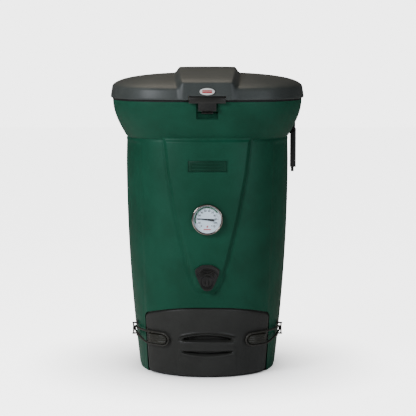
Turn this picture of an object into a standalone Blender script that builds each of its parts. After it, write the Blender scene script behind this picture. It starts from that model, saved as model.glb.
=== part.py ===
"""Insulated garden composter: a double-walled bin with a hinged lid and an emptying hatch.

Metres, +Z up. The origin is the middle of the underside and the front faces -Y.
The walls are lofts of rounded-square rings whose size follows three formulas: the tapered
body, the flared rim above it and the domed lid. Every wall is an offset of the same rings.
"""

import math

import bmesh
import bpy
from mathutils import Matrix, Vector

# ---- driving dimensions ------------------------------------------------------------------
GAP = 0.0003                 # clearance between touching pieces
DEPTH_RATIO = 1.06           # depth over width of every ring
SEGMENTS = 44                # corners of a ring on the outside
COARSE = 24                  # corners of a ring inside the walls

BASE_HALF = 0.2440           # half width of the body at the ground
WAIST_HALF = 0.2905          # half width of the body at its widest
WAIST_Z = 0.750
NECK_HALF = 0.2885           # half width where the rim flares out
NECK_Z = 0.832
RIM_HALF = 0.3346            # half width of the rim
RIM_Z = 0.9635               # seam between rim and lid
BASE_SQUARE = 2.15           # superellipse exponents: 2 is round, more is squarer
WAIST_SQUARE = 2.6
RIM_SQUARE = 3.1

LID_Z = RIM_Z + 0.0006
LID_LIP_HALF = 0.3420
LID_LIP_Z = 0.9735
LID_EDGE_HALF = 0.3372       # where the skirt turns into the dome
LID_EDGE_Z = 1.0056
LID_DOME = 0.0495            # height of the dome above that edge
BULGE_TOP_HALF = 0.100
BULGE_FOOT_HALF = 0.118
BULGE_RISE = 0.0200
BULGE_PROUD = 0.0070         # how far its front stands off the skirt

SHELL = 0.005                # wall of the outer shell and of the lid
FRAME_OUT = 0.0053           # offsets inward from the body's outer face
FRAME_IN = 0.0092
FOAM_OUT = 0.0112
FOAM_IN = 0.0447
LINER_OUT = 0.045
LINER_IN = 0.048
BASE_THICK = 0.014
GRATE_Z = 0.030

PANEL_RISE = 0.008           # raised front panel, a V that ends under the air valve
PANEL_TOP_Z = 0.838
PANEL_TIP_Z = 0.300

HATCH_HALF = 0.2160
HATCH_FOOT_HALF = 0.2060
HATCH_TOP_Z = 0.2440
HATCH_SIDE_Z = 0.2260        # the top edge is an arch between these two heights
HATCH_FOOT_Z = 0.0060
HATCH_PROUD = 0.006
TUNNEL_HALF = 0.118
TUNNEL_LOW = 0.036
TUNNEL_HIGH = 0.205
PLUG_CLEAR = 0.005
GRIP_Z = 0.1120              # middle of the hatch's grip bar
GRIP_HALF_HEIGHT = 0.0170
POCKET_HALF = 0.100
POCKET_RISE = 0.0340         # highest point of the upper finger pocket above the bar
POCKET_DROP = 0.0180
LUG_Z = 0.1320
LUG_REACH = (0.141, 0.205)   # a lug runs along x between these
LUG_HALF_HEIGHT = 0.0165

LOOP_RADIUS = 0.0038
LOOP_OFF = 0.0150            # the loop's centre line above the body's face, at the lug
HOOK_OFF = 0.0155            # the staple's bar above the body's face
HOOK_BAR = 0.0028
HOOK_SWING = 0.0078          # radius of the loop's end that passes behind the bar
HOOK_Y = -0.095
HOOK_Z = 0.1450

GAUGE_Z = 0.5619
GAUGE_RADIUS = 0.0535
VALVE_Z = 0.3600
VALVE_HOLES = tuple(math.radians(turn) for turn in (-38, 38, 142, 218))
PLATE_Z = 0.7434
PLATE_SIZE = (0.132, 0.039)

HINGE_Y = 0.3860
HINGE_Z = 0.9530
HINGE_X = 0.130
PIN_RADIUS = 0.0040
LATCH_Z = 0.9765
LATCH_Y = -0.3605
LATCH_HALF = 0.0620
STAY_X = 0.3120
STAY_Y = 0.095
STAY_Z = 0.8400
DRAIN_Z = 0.040

GREEN = (0.016, 0.066, 0.040)
GREY = (0.125, 0.120, 0.105)
BLACK = (0.022, 0.021, 0.019)
CHARCOAL = (0.030, 0.030, 0.027)
FOAM = (0.60, 0.56, 0.42)
STEEL = (0.62, 0.60, 0.58)
WHITE = (0.80, 0.84, 0.88)
RED = (0.45, 0.03, 0.02)


# ---- scene and materials -----------------------------------------------------------------
def clear_scene():
    """Remove every object, so the script can run in any file."""
    for item in list(bpy.data.objects):
        bpy.data.objects.remove(item, do_unlink=True)


def new_collection(name):
    """Return a new collection linked to the scene."""
    made = bpy.data.collections.new(name)
    bpy.context.scene.collection.children.link(made)
    return made


clear_scene()
PARTS = new_collection("insulated_composter")
CUTTERS = new_collection("cutters")


def finish(colour, roughness, metallic=0.0):
    """Return (colour, roughness, metallic), one part's finish."""
    return colour, roughness, metallic


def keep(part, name, look):
    """Name a part, give it a material of its own and put it with the finished parts."""
    colour, roughness, metallic = look
    part.name = name
    part.data.name = name
    material = bpy.data.materials.new(name)
    material.use_nodes = True
    shader = material.node_tree.nodes["Principled BSDF"]
    shader.inputs["Base Color"].default_value = (*colour, 1.0)
    shader.inputs["Roughness"].default_value = roughness
    shader.inputs["Metallic"].default_value = metallic
    part.data.materials.clear()
    part.data.materials.append(material)
    part.data.shade_smooth()
    part.data.set_sharp_from_angle(angle=math.radians(30))
    part.hide_render = False
    part.display_type = "TEXTURED"
    CUTTERS.objects.unlink(part)
    PARTS.objects.link(part)
    return part


def place(mesh_data, name="tool"):
    """Return a new object of a bmesh, kept with the cutters until it is finished."""
    mesh_data.normal_update()
    bmesh.ops.recalc_face_normals(mesh_data, faces=mesh_data.faces)
    mesh = bpy.data.meshes.new(name)
    mesh_data.to_mesh(mesh)
    mesh_data.free()
    made = bpy.data.objects.new(name, mesh)
    CUTTERS.objects.link(made)
    made.hide_render = True
    made.display_type = "WIRE"
    return made


def combine(target, tool, operation):
    """Apply a Boolean of the tool to the target and remove the tool."""
    cut = target.modifiers.new("cut", "BOOLEAN")
    cut.operation = operation
    cut.object = tool
    cut.solver = "EXACT"
    result = bpy.data.meshes.new_from_object(
        target.evaluated_get(bpy.context.evaluated_depsgraph_get())
    )
    target.modifiers.clear()
    target.data = result
    bpy.data.objects.remove(tool, do_unlink=True)
    return target


def minus(target, *tools):
    """Cut each tool out of the target."""
    for tool in tools:
        combine(target, tool, "DIFFERENCE")
    return target


def plus(target, *tools):
    """Join each tool to the target."""
    for tool in tools:
        combine(target, tool, "UNION")
    return target


def within(target, tool):
    """Keep the part of the target that lies inside the tool."""
    return combine(target, tool, "INTERSECT")


# ---- the composter's own surfaces ----------------------------------------------------------
def ring_point(half, square, turn, ratio=DEPTH_RATIO):
    """Return x, y on a rounded-square ring; turn runs from 0 to 2 pi."""
    across, along = math.cos(turn), math.sin(turn)
    x = half * math.copysign(abs(across) ** (2 / square), across)
    y = half * ratio * math.copysign(abs(along) ** (2 / square), along)
    return x, y


def smooth_half(z):
    """Return the half width that the body's formulas give at height z."""
    if z <= WAIST_Z:
        return WAIST_HALF - (WAIST_HALF - BASE_HALF) * (1 - z / WAIST_Z) ** 2
    if z <= NECK_Z:
        share = (z - WAIST_Z) / (NECK_Z - WAIST_Z)
        return WAIST_HALF + (NECK_HALF - WAIST_HALF) * share
    share = min((z - NECK_Z) / (RIM_Z - NECK_Z), 1.0)
    return NECK_HALF + (RIM_HALF - NECK_HALF) * math.sin(share * math.pi / 2)


def body_levels():
    """Return the heights of the body's rings, closer together where the rim flares."""
    taper = [WAIST_Z * (step / 7) ** 1.1 for step in range(8)]
    flare = [NECK_Z + (RIM_Z - NECK_Z) * step / 5 for step in range(6)]
    return taper + flare


def body_half(z):
    """Return the body's half width at height z, straight between two rings."""
    levels = body_levels()
    for low, high in zip(levels, levels[1:]):
        if z <= high or high == levels[-1]:
            share = min((z - low) / (high - low), 1.0)
            return smooth_half(low) + (smooth_half(high) - smooth_half(low)) * share
    return RIM_HALF


def body_square(z):
    """Return the superellipse exponent of the body at height z."""
    if z <= NECK_Z:
        return BASE_SQUARE + (WAIST_SQUARE - BASE_SQUARE) * max(z, 0.0) / NECK_Z
    share = min((z - NECK_Z) / (RIM_Z - NECK_Z), 1.0)
    return WAIST_SQUARE + (RIM_SQUARE - WAIST_SQUARE) * share


def face_y(x, z, off=0.0):
    """Return y on the body's front face, off metres outside it."""
    half = body_half(z) + off
    depth = body_half(z) * DEPTH_RATIO + off
    square = body_square(z)
    return -depth * (1 - min(abs(x) / half, 1.0) ** square) ** (1 / square)


def loft(rings, segments=SEGMENTS):
    """Return a closed solid through rings given as (z, half, depth, exponent)."""
    made = bmesh.new()
    layers = []
    for z, half, depth, square in rings:
        points = []
        for step in range(segments):
            x, y = ring_point(half, square, 2 * math.pi * (step + 0.5) / segments, depth / half)
            points.append(made.verts.new((x, y, z)))
        layers.append(points)
    for low, high in zip(layers, layers[1:]):
        for step in range(segments):
            after = (step + 1) % segments
            made.faces.new((low[step], low[after], high[after], high[step]))
    made.faces.new(layers[0])
    made.faces.new(layers[-1])
    return place(made)


def body_solid(off, low, high, segments=SEGMENTS):
    """Return the body's volume with its face moved out by off, between two heights."""
    heights = [low] + [z for z in body_levels() if low + 0.001 < z < high - 0.001] + [high]
    rings = []
    for z in heights:
        half = body_half(z)
        rings.append((z, half + off, half * DEPTH_RATIO + off, body_square(z)))
    return loft(rings, segments)


def lid_solid(off, rise=0.0, proud=0.0):
    """Return the lid's volume moved in by off, its dome raised and its skirt moved out."""
    def row(z, half):
        grown = half - off + proud
        return z, grown, half * DEPTH_RATIO - off + proud, RIM_SQUARE

    rings = [row(LID_Z - 2 * off, LID_EDGE_HALF + 0.0005), row(LID_LIP_Z, LID_LIP_HALF)]
    turns = 5
    for step in range(turns):
        angle = math.pi / 2 * step / turns
        height = LID_EDGE_Z + (LID_DOME + rise) * math.sin(angle) - off
        rings.append(row(height, (LID_EDGE_HALF - 0.002) * math.cos(angle) + 0.002))
    crest = LID_EDGE_Z + LID_DOME + rise - off
    rings.append((crest, 0.030, 0.030, 2.2))
    return loft(rings)


# ---- general pieces -------------------------------------------------------------------------
def block(low, high):
    """Return a box between two corners."""
    made = bmesh.new()
    size = Vector(high) - Vector(low)
    middle = (Vector(high) + Vector(low)) / 2
    bmesh.ops.create_cube(made, size=1.0)
    bmesh.ops.scale(made, vec=size, verts=made.verts)
    bmesh.ops.translate(made, vec=middle, verts=made.verts)
    return place(made)


def prism(outline, start, end, plane="XZ"):
    """Return an outline extruded between two places.

    The outline lies in the named plane and start and end are along the third axis.
    """
    made = bmesh.new()
    corners = {
        "XZ": lambda p, at: (p[0], at, p[1]),
        "YZ": lambda p, at: (at, p[0], p[1]),
    }[plane]
    near = [made.verts.new(corners(point, start)) for point in outline]
    far = [made.verts.new(corners(point, end)) for point in outline]
    made.faces.new(near)
    made.faces.new(far)
    for step in range(len(outline)):
        after = (step + 1) % len(outline)
        made.faces.new((near[step], near[after], far[after], far[step]))
    return place(made)


def rounded(points, radius, steps=4):
    """Return an outline with every corner rounded by an arc of the given radius."""
    result = []
    count = len(points)
    for index, point in enumerate(points):
        here = Vector(point)
        before = (Vector(points[index - 1]) - here).normalized()
        after = (Vector(points[(index + 1) % count]) - here).normalized()
        half = before.angle(after) / 2
        reach = radius / math.tan(half)
        centre = here + (before + after).normalized() * (radius / math.sin(half))
        first = here + before * reach - centre
        last = here + after * reach - centre
        for step in range(steps + 1):
            spoke = first.lerp(last, step / steps).normalized() * radius
            result.append(tuple(centre + spoke))
    return result


def turned(profile, centre, axis="Y", segments=32):
    """Return a solid turned from (radius, along) pairs about a line through centre.

    The along values are measured down the axis: for "Y" they run towards the back.
    """
    made = bmesh.new()
    turn = {
        "Y": Matrix.Rotation(math.radians(-90), 4, "X"),
        "X": Matrix.Rotation(math.radians(90), 4, "Y"),
        "Z": Matrix.Identity(4),
    }[axis]
    rings = []
    for radius, along in profile:
        if radius == 0:
            rings.append([made.verts.new((0, 0, along))])
            continue
        spokes = [2 * math.pi * step / segments for step in range(segments)]
        rings.append([
            made.verts.new((radius * math.cos(a), radius * math.sin(a), along)) for a in spokes
        ])
    closed = profile[0][0] > 0 and profile[-1][0] > 0
    pairs = list(zip(rings, rings[1:]))
    if closed:
        pairs.append((rings[-1], rings[0]))
    for one, other in pairs:
        if len(one) == len(other) == 1:
            continue
        for step in range(segments):
            after = (step + 1) % segments
            corners = [one[step % len(one)], one[after % len(one)]]
            corners += [other[after % len(other)], other[step % len(other)]]
            made.faces.new(list(dict.fromkeys(corners)))
    made.transform(Matrix.Translation(centre) @ turn)
    return place(made)


def rod(radius, start, end, segments=24):
    """Return a plain round rod between two points."""
    made = bmesh.new()
    line = Vector(end) - Vector(start)
    bmesh.ops.create_cone(
        made, cap_ends=True, segments=segments, radius1=radius, radius2=radius, depth=line.length
    )
    spin = line.to_track_quat("Z", "Y").to_matrix().to_4x4()
    made.transform(Matrix.Translation((Vector(start) + Vector(end)) / 2) @ spin)
    return place(made)


def tube(outer, inner, start, end, segments=24):
    """Return a round tube between two points."""
    line = (Vector(end) - Vector(start)).normalized() * 0.01
    hole = rod(inner, Vector(start) - line, Vector(end) + line, segments)
    return minus(rod(outer, start, end, segments), hole)


# ---- outlines -------------------------------------------------------------------------------
def hatch_outline(grow=0.0):
    """Return the hatch's outline: an arched top, leaning sides and a level foot."""
    points = []
    steps = 10
    for step in range(steps + 1):
        share = 2 * step / steps - 1
        height = HATCH_SIDE_Z + (HATCH_TOP_Z - HATCH_SIDE_Z) * (1 - share * share)
        points.append((share * (HATCH_HALF - 0.012 + grow), height + 0.004 + grow))
    points = [(-HATCH_HALF - grow, HATCH_SIDE_Z - 0.010)] + points
    points.append((HATCH_HALF + grow, HATCH_SIDE_Z - 0.010))
    points.append((HATCH_FOOT_HALF + grow, HATCH_FOOT_Z - grow))
    points.append((-HATCH_FOOT_HALF - grow, HATCH_FOOT_Z - grow))
    return points


def tunnel_outline(grow=0.0):
    """Return the emptying opening's outline, grown on every side."""
    half = TUNNEL_HALF + grow
    low, high = TUNNEL_LOW - grow, TUNNEL_HIGH + grow
    return rounded([(-half, low), (half, low), (half, high), (-half, high)], 0.020 + grow)


def panel_outline():
    """Return the raised V panel's outline."""
    edge = [(0.151, PANEL_TOP_Z), (0.138, 0.722), (0.108, 0.561), (0.069, 0.400)]
    tip = [(0.045, 0.333), (0.026, 0.306), (0.010, PANEL_TIP_Z)]
    right = edge + tip
    return right + [(-x, z) for x, z in reversed(right)]


def pocket_outline(upper, grow=0.0):
    """Return a lens-shaped finger pocket above or below the grip bar."""
    edge = GRIP_Z + GRIP_HALF_HEIGHT if upper else GRIP_Z - GRIP_HALF_HEIGHT
    swell = POCKET_RISE if upper else -POCKET_DROP
    half = POCKET_HALF + grow
    arc = []
    steps = 12
    for step in range(steps + 1):
        share = 2 * step / steps - 1
        arc.append((share * half, edge + swell * (0.25 + 0.75 * math.sqrt(1 - share * share))))
    return [(half, edge)] + list(reversed(arc)) + [(-half, edge)]


def shield_outline(scale=1.0, steps=10):
    """Return the air valve's shield: an arched top whose sides taper to a round foot."""
    half, top, shoulder, foot = 0.0425, 0.0462, 0.0270, -0.0465
    points = []
    for step in range(steps + 1):
        share = 1 - 2 * step / steps
        points.append((half * share, shoulder + (top - shoulder) * (1 - share * share)))
    for step in range(1, steps):
        angle = math.pi * step / steps
        narrow = half * math.cos(angle)
        drop = foot - shoulder
        points.append((-narrow, shoulder - 0.012 + (drop + 0.012) * math.sin(angle) ** 0.8))
    return [(x * scale, VALVE_Z + z * scale) for x, z in points]


# ---- body -----------------------------------------------------------------------------------
def latch_pocket(grow=0.0):
    """Return the recess in the rim that the latch's tab lies in."""
    deep = face_y(0, RIM_Z) + 0.009 + grow
    return block((-0.037 - grow, -0.5, 0.9215 - grow), (0.037 + grow, deep, 1.0))


def plate_recess(grow=0.0):
    """Return the shallow recess of the front panel's name plate."""
    half_wide, half_high = PLATE_SIZE[0] / 2 + grow, PLATE_SIZE[1] / 2 + grow
    deep = face_y(0, PLATE_Z, PANEL_RISE) + 0.0055 + grow
    return block((-half_wide, -0.5, PLATE_Z - half_high), (half_wide, deep, PLATE_Z + half_high))


def service_holes(off):
    """Return rods that bore the thermometer's, the valve's and the drain's holes."""
    return [
        rod(0.0060 + off, (0, -0.5, GAUGE_Z), (0, 0, GAUGE_Z)),
        rod(0.0230 + off, (0, -0.5, VALVE_Z), (0, 0, VALVE_Z)),
        rod(0.0130 + off, (0, 0, DRAIN_Z), (0, 0.5, DRAIN_Z)),
    ]


def make_body():
    """Build the double-walled bin."""
    outer = body_solid(0.0, 0.0, RIM_Z)
    raised = within(body_solid(PANEL_RISE, 0.2, 0.9), prism(panel_outline(), -0.5, 0.0))
    plus(outer, raised)
    minus(outer, latch_pocket(), plate_recess())
    hollow = body_solid(-SHELL, -0.01, RIM_Z + 0.002)
    minus(hollow, latch_pocket(SHELL))
    minus(outer, hollow, prism(hatch_outline(0.003), -0.5, 0.0))
    minus(outer, block((-HATCH_FOOT_HALF - 0.003, -0.5, -0.1), (HATCH_FOOT_HALF + 0.003, 0, 0.02)))
    minus(outer, *service_holes(0.0005))
    keep(outer, "outer_shell", finish(GREEN, 0.45))

    frame = within(body_solid(-FRAME_OUT, 0.015, 0.29), prism(hatch_outline(0.010), -0.5, 0))
    minus(frame, body_solid(-FRAME_IN, -0.01, 0.40), prism(tunnel_outline(), -0.5, 0.0))
    keep(frame, "hatch_frame", finish(BLACK, 0.6))

    liner = body_solid(-LINER_OUT, BASE_THICK + GAP, RIM_Z - 0.009, COARSE)
    lining = prism(tunnel_outline(0.003), -0.5, -0.15)
    plus(liner, within(body_solid(-FOAM_OUT, BASE_THICK + GAP, 0.30, COARSE), lining))
    minus(liner, body_solid(-LINER_IN, -0.01, RIM_Z + 0.01, COARSE))
    minus(liner, prism(tunnel_outline(), -0.5, -0.10), *service_holes(0.001))
    keep(liner, "inner_liner", finish(GREEN, 0.55))

    foam = body_solid(-FOAM_OUT, BASE_THICK + GAP, RIM_Z - 0.0093, COARSE)
    minus(foam, latch_pocket(SHELL + 0.001))
    minus(foam, body_solid(-FOAM_IN, -0.01, RIM_Z + 0.01, COARSE))
    minus(foam, prism(tunnel_outline(0.0033), -0.5, -0.10), *service_holes(0.001))
    keep(foam, "wall_insulation", finish(FOAM, 0.9))

    ring = body_solid(-SHELL - GAP, RIM_Z - 0.009 + GAP, RIM_Z - 0.004)
    minus(ring, latch_pocket(SHELL + GAP), body_solid(-LINER_OUT, 0.90, RIM_Z + 0.01))
    keep(ring, "rim_ring", finish(BLACK, 0.5))

    seal = body_solid(-0.024, RIM_Z - 0.004 + GAP, RIM_Z - 0.0006)
    minus(seal, body_solid(-0.034, 0.90, RIM_Z + 0.01))
    keep(seal, "rim_seal", finish(BLACK, 0.8))

    tray = body_solid(-SHELL - GAP, 0.0, BASE_THICK)
    keep(tray, "base_tray", finish(BLACK, 0.6))

    grate = body_solid(-LINER_IN - 0.004, GRATE_Z, GRATE_Z + 0.005)
    for step in range(-4, 5):
        slot = rounded([(-0.090, -0.005), (0.090, -0.005), (0.090, 0.005), (-0.090, 0.005)], 0.004, 2)
        shift = 0.036 * step
        outline = [(x, y + shift) for x, y in slot]
        tool = prism(outline, GRATE_Z - 0.01, GRATE_Z + 0.02)
        tool.data.transform(Matrix(((1, 0, 0, 0), (0, 0, 1, 0), (0, 1, 0, 0), (0, 0, 0, 1))))
        tool.data.flip_normals()
        minus(grate, tool)
    for x, y in ((-0.12, -0.1), (0.12, -0.1), (-0.12, 0.1), (0.12, 0.1)):
        plus(grate, block((x - 0.012, y - 0.004, BASE_THICK + GAP), (x + 0.012, y + 0.004, GRATE_Z + 0.002)))
    keep(grate, "floor_grate", finish(BLACK, 0.6))


def make_name_plate():
    """Build the plain plate with ribs that sits in the front panel's recess."""
    back = face_y(0, PLATE_Z, PANEL_RISE) + 0.0055 - GAP
    front = back - 0.0022
    half_wide, half_high = PLATE_SIZE[0] / 2 - 0.001, PLATE_SIZE[1] / 2 - 0.001
    plate = block((-half_wide, front, PLATE_Z - half_high), (half_wide, back, PLATE_Z + half_high))
    for step in range(3):
        z = PLATE_Z + (step - 1) * 0.010
        plus(plate, block((-0.052, front - 0.0018, z - 0.0016), (0.052, front + 0.0005, z + 0.0016)))
    keep(plate, "name_plate", finish(GREEN, 0.45))


def make_drain():
    """Build the drain spout at the back and its screw cap."""
    wall = body_half(DRAIN_Z) * DEPTH_RATIO
    spout = turned(
        [(0.0095, -0.052), (0.0125, -0.052), (0.0125, 0.0030), (0.0200, 0.0030),
         (0.0200, 0.006), (0.0135, 0.005), (0.0135, 0.026), (0.0095, 0.026)],
        (0, wall, DRAIN_Z), "Y", 28,
    )
    keep(spout, "drain_spout", finish(BLACK, 0.5))
    cap = turned(
        [(0.0140, 0.010), (0.0180, 0.010), (0.0180, 0.030), (0, 0.030), (0, 0.0265),
         (0.0140, 0.0265)],
        (0, wall, DRAIN_Z), "Y", 28,
    )
    keep(cap, "drain_cap", finish(BLACK, 0.5))


# ---- thermometer ------------------------------------------------------------------------------
def make_thermometer():
    """Build the dial thermometer: case, bezel, dial, pointer, lens, probe and nut."""
    face = face_y(0, GAUGE_Z, PANEL_RISE) - 0.0012
    centre = (0, face, GAUGE_Z)
    case = turned(
        [(0.0045, 0.0), (0.0500, 0.0), (0.0500, -0.0110), (0.0480, -0.0110),
         (0.0480, -0.0030), (0.0045, -0.0030)], centre)
    keep(case, "gauge_case", finish(STEEL, 0.3, 1.0))
    bezel = turned(
        [(0.0503, -0.0020), (0.0520, -0.0020), (0.0535, -0.0045), (0.0535, -0.0105),
         (0.0515, -0.0135), (0.0485, -0.0140), (0.0467, -0.0125), (0.0467, -0.0113),
         (0.0503, -0.0113)], centre)
    keep(bezel, "gauge_bezel", finish(STEEL, 0.2, 1.0))
    dial = turned([(0.0030, -0.0033), (0.0477, -0.0033), (0.0477, -0.0045), (0.0030, -0.0045)],
                  centre)
    keep(dial, "gauge_dial", finish(WHITE, 0.4))
    lens = turned([(0, -0.0092), (0.0477, -0.0092), (0.0477, -0.0109), (0, -0.0109)], centre)
    keep(lens, "gauge_lens", finish((0.9, 0.95, 1.0), 0.05))
    probe = turned(
        [(0, 0.270), (0.0020, 0.270), (0.0040, 0.264), (0.0040, -0.0030), (0.0014, -0.0030),
         (0.0014, -0.0085), (0, -0.0085)], centre, "Y", 20)
    keep(probe, "gauge_probe", finish(STEEL, 0.3, 1.0))
    wall = face_y(0, GAUGE_Z, -LINER_IN) + 0.003
    nut = turned([(0.0048, 0.0), (0.0130, 0.0), (0.0130, 0.0070), (0.0048, 0.0070)],
                 (0, wall, GAUGE_Z), "Y", 6)
    keep(nut, "gauge_nut", finish(STEEL, 0.35, 1.0))

    hand = [(-0.0345, 0.0007), (-0.0345, -0.0007), (-0.0060, -0.0022), (0.0245, -0.0042),
            (0.0245, 0.0042), (-0.0060, 0.0022)]
    pointer = prism([(x, z + GAUGE_Z) for x, z in reversed(hand)], face - 0.0075, face - 0.0060)
    minus(pointer, rod(0.0019, (0, face - 0.02, GAUGE_Z), (0, face, GAUGE_Z), 16))
    swing = Matrix.Rotation(math.radians(6), 4, "Y")
    seat = Matrix.Translation((0, 0, GAUGE_Z))
    pointer.data.transform(seat @ swing @ seat.inverted())
    pivot = (0, face - 0.00675, GAUGE_Z)
    pointer.data.transform(Matrix.Translation(pivot).inverted())
    pointer.location = pivot
    keep(pointer, "gauge_pointer", finish(BLACK, 0.4))


# ---- air valve ----------------------------------------------------------------------------------
def make_valve():
    """Build the adjustable air inlet: shield housing, knob, shutter, duct and grille."""
    back = face_y(0, VALVE_Z, PANEL_RISE) - 0.0030
    housing = prism(shield_outline(), back, back - 0.010)
    minus(housing, prism(shield_outline(0.88), back - 0.0072, back - 0.02))
    for step in range(3):
        radius = 0.0235 + 0.0062 * step
        arc = turned([(radius, -0.0035), (radius + 0.0022, -0.0035), (radius + 0.0022, -0.0093),
                      (radius, -0.0093)], (0, back, VALVE_Z - 0.012), "Y", 28)
        trim = prism(shield_outline(0.86), back, back - 0.02)
        clip = block((-0.1, back - 0.05, VALVE_Z - 0.002), (0.1, back + 0.01, VALVE_Z + 0.1))
        plus(housing, within(within(arc, trim), clip))
    low = VALVE_Z - 0.012
    minus(housing, rod(0.0195, (0, back - 0.05, low), (0, back - 0.0045, low), 28))
    minus(housing, rod(0.0062, (0, back - 0.05, low), (0, back + 0.01, low)))
    for angle in VALVE_HOLES:
        x, z = 0.0125 * math.cos(angle), 0.0125 * math.sin(angle)
        minus(housing, rod(0.0042, (x, back - 0.05, low + z), (x, back + 0.01, low + z), 16))
    keep(housing, "valve_housing", finish(BLACK, 0.4))

    knob = turned(
        [(0, 0.0005), (0.0059, 0.0005), (0.0059, -0.0050), (0.0190, -0.0050), (0.0190, -0.0068),
         (0.0175, -0.0085), (0.0090, -0.0095), (0, -0.0095)], (0, back, low), "Y", 28)
    bar = prism(rounded([(-0.0035, -0.0160), (0.0035, -0.0160), (0.0035, 0.0160),
                         (-0.0035, 0.0160)], 0.003), -0.0080, -0.0155)
    bar.data.transform(Matrix.Translation((0, back, low)))
    plus(knob, bar)
    for angle in VALVE_HOLES:
        x, z = 0.0125 * math.cos(angle), 0.0125 * math.sin(angle)
        minus(knob, rod(0.0038, (x, back - 0.012, low + z), (x, back + 0.01, low + z), 16))
    pivot = (0, back, low)
    knob.data.transform(Matrix.Translation(pivot).inverted())
    knob.location = pivot
    keep(knob, "valve_knob", finish(BLACK, 0.4))

    inner = face_y(0, VALVE_Z, -LINER_IN)
    duct = tube(0.0215, 0.0190, (0, back + 0.0045, VALVE_Z), (0, inner + 0.004, VALVE_Z), 32)
    keep(duct, "air_duct", finish(BLACK, 0.6))
    grille = turned([(0, 0.0045), (0.0270, 0.0045), (0.0270, 0.0075), (0, 0.0075)],
                    (0, inner, VALVE_Z), "Y", 32)
    for step in range(-2, 3):
        reach = 0.017 if abs(step) < 2 else 0.010
        z = VALVE_Z + step * 0.0085
        minus(grille, block((-reach, inner, z - 0.002), (reach, inner + 0.02, z + 0.002)))
    keep(grille, "duct_grille", finish(BLACK, 0.6))


# ---- hatch --------------------------------------------------------------------------------------
def finger_space(grow=0.0):
    """Return the space behind the grip bar that the two finger pockets share."""
    low, high = GRIP_Z - 0.0300, GRIP_Z + 0.0420
    half = 0.092 + grow
    outline = rounded([(-half, low), (half, low), (half, high), (-half, high)], 0.012)
    return prism(outline, -0.5, 0.0)


def make_lug(side):
    """Return one lug of the hatch, rounded at its inner end; side is -1 or 1."""
    near, far = LUG_REACH
    points = [(far, LUG_Z - LUG_HALF_HEIGHT), (far, LUG_Z + LUG_HALF_HEIGHT)]
    for step in range(7):
        angle = math.radians(90 + 30 * step)
        x = near + LUG_HALF_HEIGHT + LUG_HALF_HEIGHT * math.cos(angle)
        points.append((x, LUG_Z + LUG_HALF_HEIGHT * math.sin(angle)))
    outline = [(side * x, z) for x, z in points]
    return within(body_solid(0.0220, 0.08, 0.20), prism(outline, -0.5, -0.05))


def make_hatch():
    """Build the emptying hatch: cover with grip and lugs, insulated plug and seal."""
    cover = within(body_solid(HATCH_PROUD, -0.01, 0.30), prism(hatch_outline(), -0.5, 0.0))
    minus(cover, body_solid(-SHELL + GAP, -0.02, 0.40))
    for side in (-1, 1):
        lug = minus(make_lug(side), body_solid(0.001, 0.05, 0.25))
        plus(cover, lug)
    for upper in (True, False):
        minus(cover, prism(pocket_outline(upper), -0.5, 0.0))
    keep(cover, "hatch_cover", finish(CHARCOAL, 0.5))

    plug = within(
        body_solid(-SHELL - 0.0001, 0.01, 0.28),
        prism(tunnel_outline(-PLUG_CLEAR), -0.5, -0.1),
    )
    minus(plug, body_solid(-FOAM_IN + 0.001, -0.02, 0.40))
    pocket = within(finger_space(), body_solid(0.05, 0.03, 0.25))
    minus(plug, minus(pocket, body_solid(-0.030, -0.02, 0.40)))
    keep(plug, "hatch_plug", finish(BLACK, 0.6))

    seal = within(body_solid(-0.014, 0.01, 0.28), prism(tunnel_outline(-GAP), -0.5, -0.1))
    minus(seal, prism(tunnel_outline(-PLUG_CLEAR + GAP), -0.5, 0.0))
    minus(seal, body_solid(-0.022, -0.02, 0.40))
    keep(seal, "hatch_seal", finish(BLACK, 0.8))


def loop_points(side):
    """Return the closed centre line of a rubber loop: round the lug, then behind the staple."""
    near = LUG_REACH[0] - LOOP_RADIUS - 0.0022
    swing = LUG_HALF_HEIGHT + LOOP_RADIUS + 0.0022
    start = []
    for step in range(9):
        angle = math.radians(90 + 22.5 * step)
        x = near + swing + swing * math.cos(angle)
        z = LUG_Z + swing * math.sin(angle)
        start.append(Vector((side * x, face_y(x, z, LOOP_OFF), z)))
    foot, away = hook_frame(side)
    low_off = HOOK_OFF - HOOK_BAR - LOOP_RADIUS - 0.0006
    seat = foot + away * low_off
    along = Vector((-away.y, away.x, 0)) * side
    turns = []
    for step in range(7):
        angle = math.radians(-90 + 30 * step)
        across = along * math.cos(angle) * HOOK_SWING
        turns.append(seat + across + Vector((0, 0, math.sin(angle) * HOOK_SWING)))

    def strand(one, other, first, last):
        result = []
        count = 4
        for step in range(1, count):
            share = step / count
            point = one.lerp(other, share)
            wanted = first + (last - first) * share
            outward = Vector((point.x, point.y / DEPTH_RATIO, 0)).normalized()
            result.append(point + outward * max(wanted - skin_distance(point), 0.0))
        return result

    corner = LUG_REACH[1] + 0.006
    low, high = LUG_Z - swing, LUG_Z + swing
    below = Vector((side * corner, face_y(corner, low, LOOP_OFF), low))
    above = Vector((side * corner, face_y(corner, high, LOOP_OFF), high))
    there = strand(start[-1], below, LOOP_OFF, LOOP_OFF) + [below]
    there += strand(below, turns[0], LOOP_OFF, low_off)
    back = strand(turns[-1], above, low_off, LOOP_OFF) + [above]
    back += strand(above, start[0], LOOP_OFF, LOOP_OFF)
    return start + there + turns + back


def skin_distance(point):
    """Return roughly how far a point lies outside the body's face."""
    half = body_half(point.z)
    square = body_square(point.z)
    scale = (abs(point.x) / half) ** square + (abs(point.y) / (half * DEPTH_RATIO)) ** square
    return Vector((point.x, point.y, 0)).length * (1 - scale ** (-1 / square))


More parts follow.
